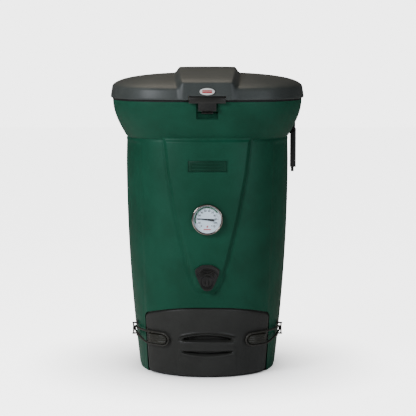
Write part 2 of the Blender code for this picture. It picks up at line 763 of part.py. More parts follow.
def hook_frame(side):
    """Return the side hook's foot on the body and the direction it stands out in."""
    half = body_half(HOOK_Z)
    square = body_square(HOOK_Z)
    depth = half * DEPTH_RATIO
    x = half * (1 - (abs(HOOK_Y) / depth) ** square) ** (1 / square)
    normal = Vector((side * x ** (square - 1) / half ** square,
                     -abs(HOOK_Y) ** (square - 1) / depth ** square, 0)).normalized()
    return Vector((side * x, HOOK_Y, HOOK_Z)), normal


def make_loops():
    """Build the two rubber loops and the side hooks that hold them."""
    for side, word in ((-1, "left"), (1, "right")):
        foot, away = hook_frame(side)
        pivot = foot + away * HOOK_OFF
        reach = Vector((0, 0, 0.0215))
        hook = rod(HOOK_BAR, pivot - reach, pivot + reach, 12)
        for end in (-1, 1):
            near = Vector((0, 0, end * 0.0168))
            far = Vector((0, 0, end * 0.0214))
            ear = rod(0.0048, pivot + near, pivot + far, 16)
            web = block((0.0008, -0.0046, -0.0022), (HOOK_OFF, 0.0046, 0.0022))
            aim = Matrix((( away.x, -away.y, 0), (away.y, away.x, 0), (0, 0, 1))).to_4x4()
            lift = Matrix.Translation(foot + (near + far) / 2)
            web.data.transform(lift @ aim)
            plus(hook, plus(ear, web))
        for end in (-1, 1):
            low, high = sorted((end * 0.0136, end * 0.0290))
            pad = block((0.0008, -0.0080, low), (0.0036, 0.0080, high))
            pad.data.transform(Matrix.Translation(foot) @ aim)
            plus(hook, pad)
        minus(hook, body_solid(0.0006, 0.05, 0.25))
        keep(hook, f"side_hook_{word}", finish(BLACK, 0.5))

        curve = bpy.data.curves.new("loop", "CURVE")
        curve.dimensions = "3D"
        points = loop_points(side)
        spline = curve.splines.new("POLY")
        spline.points.add(len(points) - 1)
        for slot, point in zip(spline.points, points):
            slot.co = (*point, 1.0)
        spline.use_cyclic_u = True
        curve.bevel_depth = LOOP_RADIUS
        curve.bevel_resolution = 2
        wire = bpy.data.objects.new("loop", curve)
        CUTTERS.objects.link(wire)
        bpy.context.view_layer.update()
        mesh = bpy.data.meshes.new_from_object(
            wire.evaluated_get(bpy.context.evaluated_depsgraph_get())
        )
        bpy.data.objects.remove(wire, do_unlink=True)
        made = bmesh.new()
        made.from_mesh(mesh)
        bmesh.ops.remove_doubles(made, verts=made.verts, dist=0.00001)
        loop = place(made)
        loop.data.transform(Matrix.Translation(pivot).inverted())
        loop.location = pivot
        keep(loop, f"rubber_loop_{word}", finish(BLACK, 0.7))


# ---- lid ----------------------------------------------------------------------------------------
def bulge_prism(off=0.0):
    """Return the lid's raised middle band as a trapezoid that runs from front to back."""
    foot, top = BULGE_FOOT_HALF - off, BULGE_TOP_HALF - off
    outline = [(-top * 0.84, 0.90), (top * 0.84, 0.90), (top * 0.84, 1.000), (foot, 1.050),
               (top, 1.0685), (top, 1.2), (-top, 1.2), (-top, 1.0685), (-foot, 1.050),
               (-top * 0.84, 1.000)]
    return prism(outline, -0.5, 0.5)


def latch_notch(grow=0.0):
    """Return the notch in the lid's front lip that holds the latch."""
    top = LATCH_Z + 0.0075 + grow
    half = LATCH_HALF + 0.0015 + grow
    return block((-half, -0.5, 0.90), (half, LATCH_Y + 0.0125 + grow, top))


def make_lid():
    """Build the lid: domed cover, liner pan with plug, insulation, badge and vent."""
    cover = lid_solid(0.0)
    plus(cover, within(lid_solid(0.0, BULGE_RISE, BULGE_PROUD), bulge_prism()))
    hollow = lid_solid(SHELL)
    plus(hollow, within(lid_solid(SHELL, BULGE_RISE, BULGE_PROUD), bulge_prism(SHELL)))
    minus(hollow, latch_notch(SHELL * 0.8))
    minus(cover, hollow, latch_notch())
    rear = RIM_HALF * DEPTH_RATIO
    for step in range(3):
        z = 0.988 + 0.007 * step
        minus(cover, block((-0.030, rear - 0.03, z - 0.0015), (0.030, rear + 0.05, z + 0.0015)))
    keep(cover, "lid_cover", finish(GREY, 0.5))

    def lid_slice(off, low, high):
        half = RIM_HALF - off
        depth = RIM_HALF * DEPTH_RATIO - off
        return loft([(low, half, depth, RIM_SQUARE), (high, half, depth, RIM_SQUARE)])

    def plug_slice(off, low, high):
        half = NECK_HALF - LINER_IN - off
        depth = NECK_HALF * DEPTH_RATIO - LINER_IN - off
        return loft([(low, half - 0.004, depth - 0.004, WAIST_SQUARE),
                     (high, half, depth, WAIST_SQUARE)])

    pan = lid_slice(0.0065, LID_Z, LID_Z + 0.004)
    plus(pan, plug_slice(0.010, 0.925, LID_Z + 0.002))
    minus(pan, plug_slice(0.014, 0.929, LID_Z + 0.01), latch_notch(0.0055))
    keep(pan, "lid_liner", finish(BLACK, 0.6))

    foam = lid_slice(0.012, LID_Z + 0.0043, LID_EDGE_Z - 0.0015)
    plus(foam, plug_slice(0.0155, 0.9293, LID_Z + 0.01))
    minus(foam, latch_notch(0.0065))
    keep(foam, "lid_insulation", finish(FOAM, 0.9))

    front = -(LID_EDGE_HALF * DEPTH_RATIO + BULGE_PROUD)
    badge = turned([(0, -0.0024), (0.0240, -0.0024), (0.0255, -0.0016), (0.0255, 0.0020),
                    (0, 0.0020)], (0, 0, 0), "Y", 36)
    badge.data.transform(Matrix.Diagonal((1.0, 1.0, 0.46, 1.0)))
    badge.data.transform(Matrix.Translation((0, front - 0.0058, 0.9995)))
    keep(badge, "lid_badge", finish(WHITE, 0.35))

    grille = block((-0.034, rear - 0.0015, 0.984), (0.034, rear + 0.0012, 1.0030))
    for step in range(5):
        x = (step - 2) * 0.012
        minus(grille, block((x - 0.004, 0.2, 0.9865), (x + 0.004, 0.5, 1.0025)))
    keep(grille, "vent_grille", finish(BLACK, 0.6))


# ---- hinges, latch and stay -----------------------------------------------------------------------
def make_hinges():
    """Build two hinges: a bracket on the rim, an arm on the lid and a pin for each."""
    eye = 0.0095
    for side, word in ((-1, "left"), (1, "right")):
        middle = side * HINGE_X
        bracket = rod(eye, (middle - 0.009, HINGE_Y, HINGE_Z), (middle + 0.009, HINGE_Y, HINGE_Z), 20)
        foot = [(HINGE_Y, HINGE_Z + 0.0060), (0.330, HINGE_Z + 0.0060), (0.330, 0.910),
                (0.357, 0.910), (HINGE_Y, HINGE_Z - eye)]
        plus(bracket, prism(foot, middle - 0.0089, middle + 0.0089, "YZ"))
        minus(bracket, body_solid(GAP + 0.0002, 0.80, RIM_Z))
        minus(bracket, block((middle - 0.05, 0.2, RIM_Z - GAP), (middle + 0.05, 0.3700, 1.0)))
        line = [(middle - 0.05, HINGE_Y, HINGE_Z), (middle + 0.05, HINGE_Y, HINGE_Z)]
        minus(bracket, rod(PIN_RADIUS + 0.0002, *line, 20))
        keep(bracket, f"hinge_bracket_{word}", finish(BLACK, 0.5))

        arm = None
        for edge in (-1, 1):
            near, far = sorted((middle + edge * 0.0095, middle + edge * 0.0175))
            cheek = rod(eye, (near, HINGE_Y, HINGE_Z), (far, HINGE_Y, HINGE_Z), 20)
            web = [(HINGE_Y + eye, HINGE_Z), (HINGE_Y + 0.0060, 0.9980), (0.345, 0.9980),
                   (0.345, 0.9700), (HINGE_Y - eye, 0.9700), (HINGE_Y - eye, HINGE_Z)]
            plus(cheek, prism(web, near + 0.0001, far - 0.0001, "YZ"))
            arm = cheek if arm is None else plus(arm, cheek)
        bridge = [(HINGE_Y + 0.0060, 0.9979), (0.345, 0.9979), (0.345, 0.9760),
                  (HINGE_Y + 0.0040, 0.9760)]
        plus(arm, prism(bridge, middle - 0.0120, middle + 0.0120, "YZ"))
        minus(arm, lid_solid(-GAP - 0.0002))
        minus(arm, rod(PIN_RADIUS + 0.0002, *line, 20))
        keep(arm, f"hinge_arm_{word}", finish(GREY, 0.5))

        pin = turned([(0, -0.0205), (0.0065, -0.0205), (0.0065, -0.0178), (PIN_RADIUS, -0.0178),
                      (PIN_RADIUS, 0.0195), (0, 0.0195)], (middle, HINGE_Y, HINGE_Z), "X", 20)
        keep(pin, f"hinge_pin_{word}", finish(STEEL, 0.35, 1.0))


def make_latch():
    """Build the front latch lever, its pin and the keeper in the rim's recess."""
    nose = 0.0072                # the bar's round top turns inside the lid's notch
    bar = [(LATCH_Y - nose, 0.9598)]
    for step in range(9):
        angle = math.radians(180 - 22.5 * step)
        bar.append((LATCH_Y + nose * math.cos(angle), LATCH_Z + nose * math.sin(angle)))
    bar += [(LATCH_Y + 0.0010, 0.9670), (LATCH_Y - 0.0020, 0.9598)]
    lever = prism(bar, -LATCH_HALF, LATCH_HALF, "YZ")
    tab = [(LATCH_Y - 0.0050, 0.9330), (LATCH_Y - 0.0070, 0.9350), (LATCH_Y - 0.0071, 0.9630),
           (LATCH_Y - 0.0030, 0.9630), (LATCH_Y - 0.0020, 0.9400), (LATCH_Y + 0.0005, 0.9370),
           (LATCH_Y + 0.0005, 0.9330)]
    plus(lever, prism(tab, -0.0305, 0.0305, "YZ"))
    line = [(-0.08, LATCH_Y, LATCH_Z), (0.08, LATCH_Y, LATCH_Z)]
    minus(lever, rod(0.0026, *line, 20))
    pivot = (0, LATCH_Y, LATCH_Z)
    lever.data.transform(Matrix.Translation(pivot).inverted())
    lever.location = pivot
    keep(lever, "latch_lever", finish(BLACK, 0.4))
    pin = rod(0.0025, (-0.0632, LATCH_Y, LATCH_Z), (0.0632, LATCH_Y, LATCH_Z), 20)
    keep(pin, "latch_pin", finish(STEEL, 0.35, 1.0))
    back = face_y(0, RIM_Z) + 0.009 - GAP
    keeper = prism([(back, 0.9235), (back, 0.9420), (back - 0.0020, 0.9420),
                    (back - 0.0035, 0.9310), (back - 0.0070, 0.9290), (back - 0.0070, 0.9250)],
                   -0.020, 0.020, "YZ")
    keep(keeper, "latch_keeper", finish(BLACK, 0.5))


def make_stay():
    """Build the flat bar that hangs from a bolt under the rim, with its bracket."""
    half = 0.0095
    outline = []
    for step in range(9):
        angle = math.radians(22.5 * step)
        outline.append((half * math.cos(angle), half * math.sin(angle)))
    outline += [(-half, -0.1380), (-half + 0.001, -0.1395), (half - 0.001, -0.1395), (half, -0.1380)]
    bar = prism([(STAY_X + x, STAY_Z + z) for x, z in reversed(outline)], STAY_Y - 0.0025, STAY_Y + 0.0025)
    bore = [(STAY_X, STAY_Y - 0.05, STAY_Z), (STAY_X, STAY_Y + 0.05, STAY_Z)]
    minus(bar, rod(0.0031, *bore, 20))
    slot = rounded([(-0.0030, -0.1290), (0.0030, -0.1290), (0.0030, -0.1050), (-0.0030, -0.1050)], 0.0025)
    minus(bar, prism([(STAY_X + x, STAY_Z + z) for x, z in slot], STAY_Y - 0.05, STAY_Y + 0.05))
    pivot = (STAY_X, STAY_Y, STAY_Z)
    bar.data.transform(Matrix.Translation(pivot).inverted())
    bar.location = pivot
    keep(bar, "lid_stay", finish(BLACK, 0.35))
    bracket = block((0.270, STAY_Y + 0.0029, STAY_Z - 0.0100), (STAY_X + 0.010, STAY_Y + 0.0069, 0.900))
    minus(bracket, body_solid(GAP + 0.0002, 0.70, RIM_Z))
    minus(bracket, rod(0.0031, *bore, 20))
    keep(bracket, "stay_bracket", finish(BLACK, 0.5))
    bolt = turned([(0, -0.0065), (0.0060, -0.0065), (0.0070, -0.0040), (0.0070, -0.0028),
                   (0.0030, -0.0028), (0.0030, 0.0110), (0, 0.0110)], pivot, "Y", 20)
    keep(bolt, "stay_bolt", finish(STEEL, 0.3, 1.0))


make_body()
make_name_plate()
make_drain()
make_thermometer()
make_valve()
make_hatch()
make_loops()
make_lid()
make_hinges()
make_latch()
make_stay()
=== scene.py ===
"""Looks of an insulated garden composter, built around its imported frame.

Every place and size comes from the frame or from the driving dimensions below, in metres.
Each sub-assembly is a class: its fields are sizes, and its methods build and dress its pieces.
"""

import logging
import math
from dataclasses import dataclass
from enum import Enum
from typing import Callable, Sequence

import bmesh
import bpy
import numpy as np
from mathutils import Matrix, Vector


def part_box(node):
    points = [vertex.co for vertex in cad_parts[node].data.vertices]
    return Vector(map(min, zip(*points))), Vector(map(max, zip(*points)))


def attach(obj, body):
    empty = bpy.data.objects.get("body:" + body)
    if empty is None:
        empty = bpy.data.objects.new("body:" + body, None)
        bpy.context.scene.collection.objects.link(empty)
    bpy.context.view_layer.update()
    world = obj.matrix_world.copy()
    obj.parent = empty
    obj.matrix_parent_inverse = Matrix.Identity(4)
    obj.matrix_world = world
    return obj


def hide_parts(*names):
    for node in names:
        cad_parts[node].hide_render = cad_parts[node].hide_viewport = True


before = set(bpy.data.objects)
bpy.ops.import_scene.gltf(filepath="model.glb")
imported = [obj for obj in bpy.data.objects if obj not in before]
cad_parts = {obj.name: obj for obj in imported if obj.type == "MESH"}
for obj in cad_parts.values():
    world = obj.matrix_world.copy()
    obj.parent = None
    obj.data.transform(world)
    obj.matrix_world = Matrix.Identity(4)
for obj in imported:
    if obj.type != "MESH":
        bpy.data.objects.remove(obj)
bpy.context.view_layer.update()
LOG = logging.getLogger("composter")
SAME_POINT = 0.00002                 # points closer than this are one
WELL_AHEAD = -0.5                    # y of a cutter's end in front of the composter

Point = Sequence[float]
Outline = Sequence[tuple[float, float]]
Field = Callable[[np.ndarray, np.ndarray], np.ndarray]


class Body(Enum):
    """Bodies of the frame that pieces ride on."""

    BIN = "bin"
    LID = "lid"
    LATCH = "latch"
    POINTER = "pointer"
    AIR = "air_control"
    HATCH = "hatch"
    LOOP_LEFT = "loop_left"
    LOOP_RIGHT = "loop_right"
    STAY = "stay"
    CAP = "cap"


class Slot(Enum):
    """Material slots of the record, passed along with each new piece."""

    GREEN = "green_shell"
    GREY = "grey_lid"
    BLACK = "black_plastic"
    CHARCOAL = "charcoal_hatch"
    RUBBER = "black_rubber"
    STEEL = "steel"
    DIAL = "dial_white"
    BADGE = "badge_white"


# ---- shading helpers ------------------------------------------------------------------------
def linear(code: str) -> tuple[float, float, float, float]:
    """Turn an sRGB hex colour into linear red, green, blue and alpha.

    Args:
        code: six hex digits after a hash.

    Returns:
        The colour as Blender's sockets take it.
    """
    parts = [int(code[at:at + 2], 16) / 255 for at in (1, 3, 5)]
    straight = [p / 12.92 if p <= 0.04045 else ((p + 0.055) / 1.055) ** 2.4 for p in parts]
    return (*straight, 1.0)


def add_node(tree: bpy.types.NodeTree, kind: str, settings: dict | None = None,
             values: dict | None = None, links: dict | None = None) -> bpy.types.Node:
    """Add one shader node with its settings, input values and incoming links.

    Args:
        tree: the material's node tree.
        kind: the node's type name.
        settings: properties of the node, such as a mode.
        values: input names or numbers with the values they hold.
        links: input names or numbers with the output sockets that feed them.

    Returns:
        The new node.
    """
    node = tree.nodes.new(kind)
    for key, value in (settings or {}).items():
        setattr(node, key, value)
    for key, value in (values or {}).items():
        node.inputs[key].default_value = value
    for key, source in (links or {}).items():
        tree.links.new(source, node.inputs[key])
    return node


def seen_by_camera(tree: bpy.types.NodeTree) -> bpy.types.NodeSocket:
    """Return a socket that is 1 for what the camera sees directly and 0 for other light."""
    return add_node(tree, "ShaderNodeLightPath").outputs["Is Camera Ray"]


class Graph:
    """A new material's node tree, with the few steps that every finish here is made of."""

    def __init__(self, name: str) -> None:
        """Make the material and find its shader and the object's own coordinates."""
        self.material = bpy.data.materials.new(name)
        self.material.use_nodes = True
        self.tree = self.material.node_tree
        self.shader = self.tree.nodes["Principled BSDF"]
        self.place = add_node(self.tree, "ShaderNodeTexCoord").outputs["Object"]

    def noise(self, size_mm: float, detail: float = 2.0, rough: float = 0.5
              ) -> bpy.types.NodeSocket:
        """Return a noise whose pattern repeats about every size_mm millimetres."""
        return add_node(self.tree, "ShaderNodeTexNoise", values={
            "Scale": 1000 / size_mm, "Detail": detail, "Roughness": rough,
        }, links={"Vector": self.place}).outputs["Fac"]

    def spread(self, source: bpy.types.NodeSocket, low: float, high: float,
               to_low: float = 0.0, to_high: float = 1.0) -> bpy.types.NodeSocket:
        """Return the source with low to high stretched to to_low to to_high."""
        return add_node(self.tree, "ShaderNodeMapRange", values={
            "From Min": low, "From Max": high, "To Min": to_low, "To Max": to_high,
        }, links={"Value": source}).outputs["Result"]

    def blend(self, one: str, other: str, share: bpy.types.NodeSocket) -> bpy.types.NodeSocket:
        """Return a mix of two hex colours, the other one where the share is 1."""
        return add_node(self.tree, "ShaderNodeMix", {"data_type": "RGBA"}, {
            "A": linear(one), "B": linear(other),
        }, {"Factor": share}).outputs["Result"]

    def bump(self, height: bpy.types.NodeSocket, strength: float, depth_mm: float) -> None:
        """Roughen the surface by a height pattern.

        Args:
            height: the pattern.
            strength: how much of it shows.
            depth_mm: its real depth in millimetres.
        """
        made = add_node(self.tree, "ShaderNodeBump", values={
            "Strength": strength, "Distance": depth_mm / 1000,
        }, links={"Height": height})
        self.tree.links.new(made.outputs["Normal"], self.shader.inputs["Normal"])

    def dressed(self, values: dict, links: dict | None = None) -> bpy.types.Material:
        """Set the shader's inputs and return the material.

        Args:
            values: input names with the values they hold.
            links: input names with the sockets that feed them.

        Returns:
            The finished material.
        """
        for key, value in values.items():
            self.shader.inputs[key].default_value = value
        for key, source in (links or {}).items():
            self.tree.links.new(source, self.shader.inputs[key])
        return self.material


@dataclass(frozen=True)
class MouldedPlastic:
    """A moulded thermoplastic: cloudy pigment, fine mould grain and a painted highlight that pales
    its edges.
    """

    name: str
    colour: str
    cloud: str                   # the pigment's second tone, in wide clouds
    edge: str                    # tone of the painted highlight along convex edges
    roughness: float
    cloud_mm: float
    grain_mm: float
    grain_height_mm: float
    spread: float = 0.07         # how far the gloss wanders
    speckle_mm: float = 3.0
    edge_share: float = 0.16
    specular: float = 0.32

    def material(self) -> bpy.types.Material:
        """Build the plastic with clouded pigment, wandering gloss and orange-peel grain."""
        graph = Graph(self.name)
        clouds = graph.spread(graph.noise(self.cloud_mm, 4.0, 0.55), 0.38, 0.64)
        tone = graph.blend(self.colour, self.cloud, clouds)
        speckle = graph.noise(self.speckle_mm)
        specked = add_node(graph.tree, "ShaderNodeVectorMath", {"operation": "SCALE"}, links={
            0: tone, "Scale": graph.spread(speckle, 0.35, 0.65, 0.94, 1.06),
        })
        # Painted highlight: edges that stand out, found by pointiness, are paled towards the edge
        # tone.
        form = add_node(graph.tree, "ShaderNodeNewGeometry")
        edge_highlight = graph.spread(form.outputs["Pointiness"], 0.52, 0.60, 0.0, self.edge_share)
        highlighted_tone = add_node(graph.tree, "ShaderNodeMix", {"data_type": "RGBA"},
                        {"B": linear(self.edge)},
                        {"Factor": edge_highlight, "A": specked.outputs["Vector"]})
        gloss = graph.spread(speckle, 0.0, 1.0, self.roughness - self.spread,
                             self.roughness + self.spread)
        graph.bump(graph.noise(self.grain_mm, 3.0), 0.6, self.grain_height_mm)
        return graph.dressed({"IOR": 1.50, "Specular IOR Level": self.specular},
                             {"Base Color": highlighted_tone.outputs["Result"], "Roughness": gloss})


@dataclass(frozen=True)
class Rubber:
    """Extruded EPDM rubber: nearly black, dull, with dusty patches and fine pores."""

    name: str = "epdm_rubber"
    colour: str = "#25231F"
    dust: str = "#39362F"
    roughness: float = 0.55

    def material(self) -> bpy.types.Material:
        """Build the rubber with its dust and pores."""
        graph = Graph(self.name)
        tone = graph.blend(self.colour, self.dust, graph.noise(18.0, 5.0))
        graph.bump(graph.noise(0.9), 0.5, 0.08)
        return graph.dressed({"Roughness": self.roughness}, {"Base Color": tone})


@dataclass(frozen=True)
class Steel:
    """Turned or plated steel: handling haze over fine tool marks that catch the light."""

    name: str
    colour: str
    dull: str
    roughness: float
    scratch_mm: float = 0.5

    def material(self) -> bpy.types.Material:
        """Build the metal with its handling haze and fine tool marks."""
        graph = Graph(self.name)
        haze = graph.noise(14.0, 4.0)
        gloss = graph.spread(haze, 0.0, 1.0, self.roughness * 0.7, self.roughness * 1.5)
        graph.bump(graph.noise(self.scratch_mm), 0.25, 0.03)
        return graph.dressed({"Metallic": 1.0}, {
            "Base Color": graph.blend(self.colour, self.dull, haze), "Roughness": gloss,
        })


@dataclass(frozen=True)
class Enamel:
    """Printed or stoved enamel: an even coat with a little ripple and faint age."""

    name: str
    colour: str
    aged: str
    roughness: float = 0.32
    coat: float = 0.3

    def material(self) -> bpy.types.Material:
        """Build the enamel with its age and ripple."""
        graph = Graph(self.name)
        tone = graph.blend(self.colour, self.aged, graph.noise(22.0, 3.0))
        graph.bump(graph.noise(1.6), 0.2, 0.04)
        return graph.dressed({"Roughness": self.roughness, "Coat Weight": self.coat},
                             {"Base Color": tone})


@dataclass(frozen=True)
class Foam:
    """Rigid polyurethane foam: pale straw, matt, with open cells where it was trimmed."""

    name: str = "rigid_polyurethane_foam"
    colour: str = "#D9CDA4"
    cell: str = "#BBAA78"
    cell_mm: float = 1.8

    def material(self) -> bpy.types.Material:
        """Build the foam with its cells."""
        graph = Graph(self.name)
        cells = add_node(graph.tree, "ShaderNodeTexVoronoi", values={
            "Scale": 1000 / self.cell_mm,
        }, links={"Vector": graph.place}).outputs["Distance"]
        graph.bump(cells, 0.8, 0.6)
        return graph.dressed({"Roughness": 0.92},
                             {"Base Color": graph.blend(self.cell, self.colour, cells)})


@dataclass(frozen=True)
class ClearLens:
    """Clear polycarbonate, cast flat: it shows only as a thin reflection over the dial."""

    name: str = "clear_polycarbonate"

    def material(self) -> bpy.types.Material:
        """Build the clear plastic with the faintest ripple."""
        graph = Graph(self.name)
        graph.bump(graph.noise(20.0), 0.1, 0.05)
        return graph.dressed({"Base Color": linear("#F6FAFC"), "Roughness": 0.03,
                              "Transmission Weight": 1.0, "IOR": 1.58})


@dataclass(frozen=True)
class Finishes:
    """Every finish of the composter, made once."""

    shell: bpy.types.Material
    plate: bpy.types.Material
    lid: bpy.types.Material
    hatch: bpy.types.Material
    lug: bpy.types.Material
    black: bpy.types.Material
    rubber: bpy.types.Material
    gasket: bpy.types.Material
    foam: bpy.types.Material
    bright: bpy.types.Material
    plated: bpy.types.Material
    blackened: bpy.types.Material
    dial: bpy.types.Material
    badge: bpy.types.Material
    green_ink: bpy.types.Material
    black_ink: bpy.types.Material
    red_ink: bpy.types.Material
    lens: bpy.types.Material

    @classmethod
    def make(cls) -> "Finishes":
        """Build all materials.

        Returns:
            The finishes, each named for its real material.
        """
        finishes = {
            # Thick rotomoulded wall: a waxy, softly clouded deep green with an even grain.
            "shell": MouldedPlastic("rotomoulded_polyethylene_green", "#0C4733", "#10503B",
                                    "#2F6A53", 0.50, 120.0, 2.6, 0.10, specular=0.22),
            # The same plastic in a darker tone: painted shade that makes the name plate read as an
            # inset.
            "plate": MouldedPlastic("rotomoulded_polyethylene_green_painted_shade", "#063625", "#093D2B",
                                    "#2F6A53", 0.46, 60.0, 1.6, 0.06, specular=0.22),
            # Weathered slate grey in one even tint; the lamps make its upright skirt look cool and
            # its dome warmer.
            "lid": MouldedPlastic("rotomoulded_polyethylene_grey", "#404442", "#474B48",
                                  "#676B69", 0.44, 110.0, 2.4, 0.10),
            # Flat charcoal with a tighter grain, so that the grip's hollows read by shade.
            "hatch": MouldedPlastic("moulded_polyethylene_charcoal", "#2C2C29", "#31312E",
                                    "#4C4C48", 0.45, 80.0, 1.9, 0.09),
            # The lugs' slightly olive black under the rubber loops, with painted highlights on
            # their edges.
            "lug": MouldedPlastic("moulded_polyethylene_olive_black", "#2B2A24", "#33322B",
                                  "#5A584C", 0.42, 25.0, 1.4, 0.06, spread=0.08),
            # Injection-moulded fittings: crisper and glossier, with stronger painted highlights on
            # their thin edges.
            "black": MouldedPlastic("injection_moulded_polypropylene", "#171614", "#1D1C19",
                                    "#45433E", 0.34, 30.0, 1.2, 0.05, spread=0.08,
                                    edge_share=0.30, specular=0.45),
            # Dusty matt black of the stretched loops.
            "rubber": Rubber(),
            # A darker black than the loops' rubber: painted shade that draws the thin line of the
            # gap under the lid.
            "gasket": Rubber("black_epdm_gasket_painted_shade", "#0A0A09", "#121210", 0.7),
            # Pale straw cells, seen only when the wall is cut.
            "foam": Foam(),
            # Mirror-like turned rim with warm grey reflections.
            "bright": Steel("polished_stainless_steel", "#B5ABA3", "#857A72", 0.14),
            # Dull silver of pins and the probe.
            "plated": Steel("zinc_plated_steel", "#B9B7B0", "#8E8C86", 0.30, 0.8),
            # Nearly black bolt head that disappears against its bracket.
            "blackened": Steel("black_oxide_steel", "#1B1A19", "#262422", 0.40, 0.8),
            # Cool, even white behind the scale.
            "dial": Enamel("printed_dial_enamel", "#DDE6EC", "#D2DCE3"),
            # Warmer white of the oval badge.
            "badge": Enamel("badge_enamel_white", "#EDECE8", "#E2E0DA"),
            # Inks of the scale and the marks: flat, without a coat.
            "green_ink": Enamel("green_scale_ink", "#2F6B45", "#295E3D", 0.4, 0.0),
            "black_ink": Enamel("black_scale_ink", "#15181B", "#1C1F22", 0.4, 0.0),
            "red_ink": Enamel("red_enamel", "#B80F12", "#A80C10", 0.35, 0.1),
            # A thin clear sparkle over the dial.
            "lens": ClearLens(),
        }
        return cls(**{key: finish.material() for key, finish in finishes.items()})


# ---- mesh helpers ---------------------------------------------------------------------------
def ease(share: np.ndarray) -> np.ndarray:
    """Return a smooth 0 to 1 step of a share that may run past its ends."""
    inside = np.clip(share, 0.0, 1.0)
    return inside * inside * (3 - 2 * inside)


def bead(gap: np.ndarray, width: float) -> np.ndarray:
    """Return a soft bead that is 1 where the gap is 0 and fades over the width."""
    return np.exp(-(gap / width) ** 2)


def quarter_round(edge: np.ndarray, radius: float) -> np.ndarray:
    """Return how far a rounded edge falls, by the distance inwards from the outline."""
    drop = np.clip(radius - edge, 0.0, radius)
    return radius - np.sqrt(np.maximum(radius ** 2 - drop ** 2, 0.0))


def to_object(made: bmesh.types.BMesh, name: str, sharp: float = 32.0) -> bpy.types.Object:
    """Turn a bmesh into a smooth-shaded object at the origin.

    Args:
        made: the mesh, which is freed.
        name: the object's name.
        sharp: edges steeper than this many degrees stay crisp.

    Returns:
        The object, linked to the scene.
    """
    bmesh.ops.recalc_face_normals(made, faces=made.faces)
    mesh = bpy.data.meshes.new(name)
    made.to_mesh(mesh)
    made.free()
    mesh.shade_smooth()
    mesh.set_sharp_from_angle(angle=math.radians(sharp))
    result = bpy.data.objects.new(name, mesh)
    bpy.context.scene.collection.objects.link(result)
    return result


def evaluated(target: bpy.types.Object, sharp: float = 32.0) -> bpy.types.Object:
    """Apply an object's modifiers and shade it smooth again.

    Args:
        target: the object with its modifiers.
        sharp: edges steeper than this many degrees stay crisp.

    Returns:
        The same object.
    """
    bpy.context.view_layer.update()
    graph = bpy.context.evaluated_depsgraph_get()
    mesh = bpy.data.meshes.new_from_object(target.evaluated_get(graph))
    target.modifiers.clear()
    target.data = mesh
    mesh.shade_smooth()
    mesh.set_sharp_from_angle(angle=math.radians(sharp))
    return target


def carve(target: bpy.types.Object, tool: bpy.types.Object,
          operation: str = "DIFFERENCE") -> bpy.types.Object:
    """Apply a Boolean to the target and remove the tool.

    Args:
        target: the solid that is worked on.
        tool: the solid that cuts it.
        operation: the Boolean's name.

    Returns:
        The target.
    """
    cut = target.modifiers.new("cut", "BOOLEAN")
    cut.operation = operation
    cut.object = tool
    cut.solver = "EXACT"
    evaluated(target)
    bpy.data.objects.remove(tool, do_unlink=True)
    return target


def thicken(target: bpy.types.Object, depth: float) -> bpy.types.Object:
    """Give an open sheet a wall on its inner side."""
    wall = target.modifiers.new("wall", "SOLIDIFY")
    wall.thickness = depth
    wall.offset = -1.0
    return evaluated(target)


def merged(name: str, tools: Sequence[bpy.types.Object]) -> bpy.types.Object:
    """Join separate closed tools into one object."""
    made = bmesh.new()
    for tool in tools:
        made.from_mesh(tool.data)
        bpy.data.objects.remove(tool, do_unlink=True)
    return to_object(made, name)


def add_prism(made: bmesh.types.BMesh, outline: Outline, near: float, far: float) -> None:
    """Add an x-z outline extruded from y near to y far."""
    front = [made.verts.new((x, near, z)) for x, z in outline]
    back = [made.verts.new((x, far, z)) for x, z in outline]
    made.faces.new(front)
    made.faces.new(back)
    for step in range(len(outline)):
        after = (step + 1) % len(outline)
        made.faces.new((front[step], front[after], back[after], back[step]))


def prism(name: str, outline: Outline, near: float, far: float) -> bpy.types.Object:
    """Return an x-z outline extruded from y near to y far."""
    made = bmesh.new()
    add_prism(made, outline, near, far)
    return to_object(made, name)


def side_prism(name: str, outline: Outline, left: float, right: float) -> bpy.types.Object:
    """Return a y-z outline extruded from x left to x right."""
    made = bmesh.new()
    one = [made.verts.new((left, y, z)) for y, z in outline]
    other = [made.verts.new((right, y, z)) for y, z in outline]
    made.faces.new(one)
    made.faces.new(other)
    for step in range(len(outline)):
        after = (step + 1) % len(outline)
        made.faces.new((one[step], one[after], other[after], other[step]))
    return to_object(made, name)


def box(name: str, low: Point, high: Point, round_off: float = 0.0) -> bpy.types.Object:
    """Return a box between two corners, with edges rounded off by round_off metres."""
    made = bmesh.new()
    bmesh.ops.create_cube(made, size=1.0)
    size, middle = Vector(high) - Vector(low), (Vector(high) + Vector(low)) / 2
    bmesh.ops.scale(made, vec=size, verts=made.verts)
    bmesh.ops.translate(made, vec=middle, verts=made.verts)
    if round_off:
        bmesh.ops.bevel(made, geom=made.edges[:], offset=round_off, segments=3,
                        affect="EDGES", profile=0.5)
    return to_object(made, name)


def turned(name: str, profile: Outline, centre: Point, segments: int = 96,
           flat: float = 1.0) -> bpy.types.Object:
    """Return a solid turned about a line along y.

    Args:
        name: the object's name.
        profile: (radius, y) pairs, y measured from the centre.
        centre: a point on the axis.
        segments: sides of the round.
        flat: height over width, 1 for a circle.

    Returns:
        The turned object.
    """
    made = bmesh.new()
    rings = []
    for radius, along in profile:
        if radius == 0:
            rings.append([made.verts.new((0, along, 0))])
            continue
        spokes = [2 * math.pi * step / segments for step in range(segments)]
        rings.append([made.verts.new((radius * math.cos(a), along, radius * math.sin(a) * flat))
                      for a in spokes])
    pairs = list(zip(rings, rings[1:]))
    if profile[0][0] > 0 and profile[-1][0] > 0:
        pairs.append((rings[-1], rings[0]))
    for one, other in pairs:
        for step in range(segments):
            after = (step + 1) % segments
            corners = [one[step % len(one)], one[after % len(one)]]
            corners += [other[after % len(other)], other[step % len(other)]]
            distinct = list(dict.fromkeys(corners))
            if len(distinct) > 2:
                made.faces.new(distinct)
    made.transform(Matrix.Translation(centre))
    return to_object(made, name, 25.0)


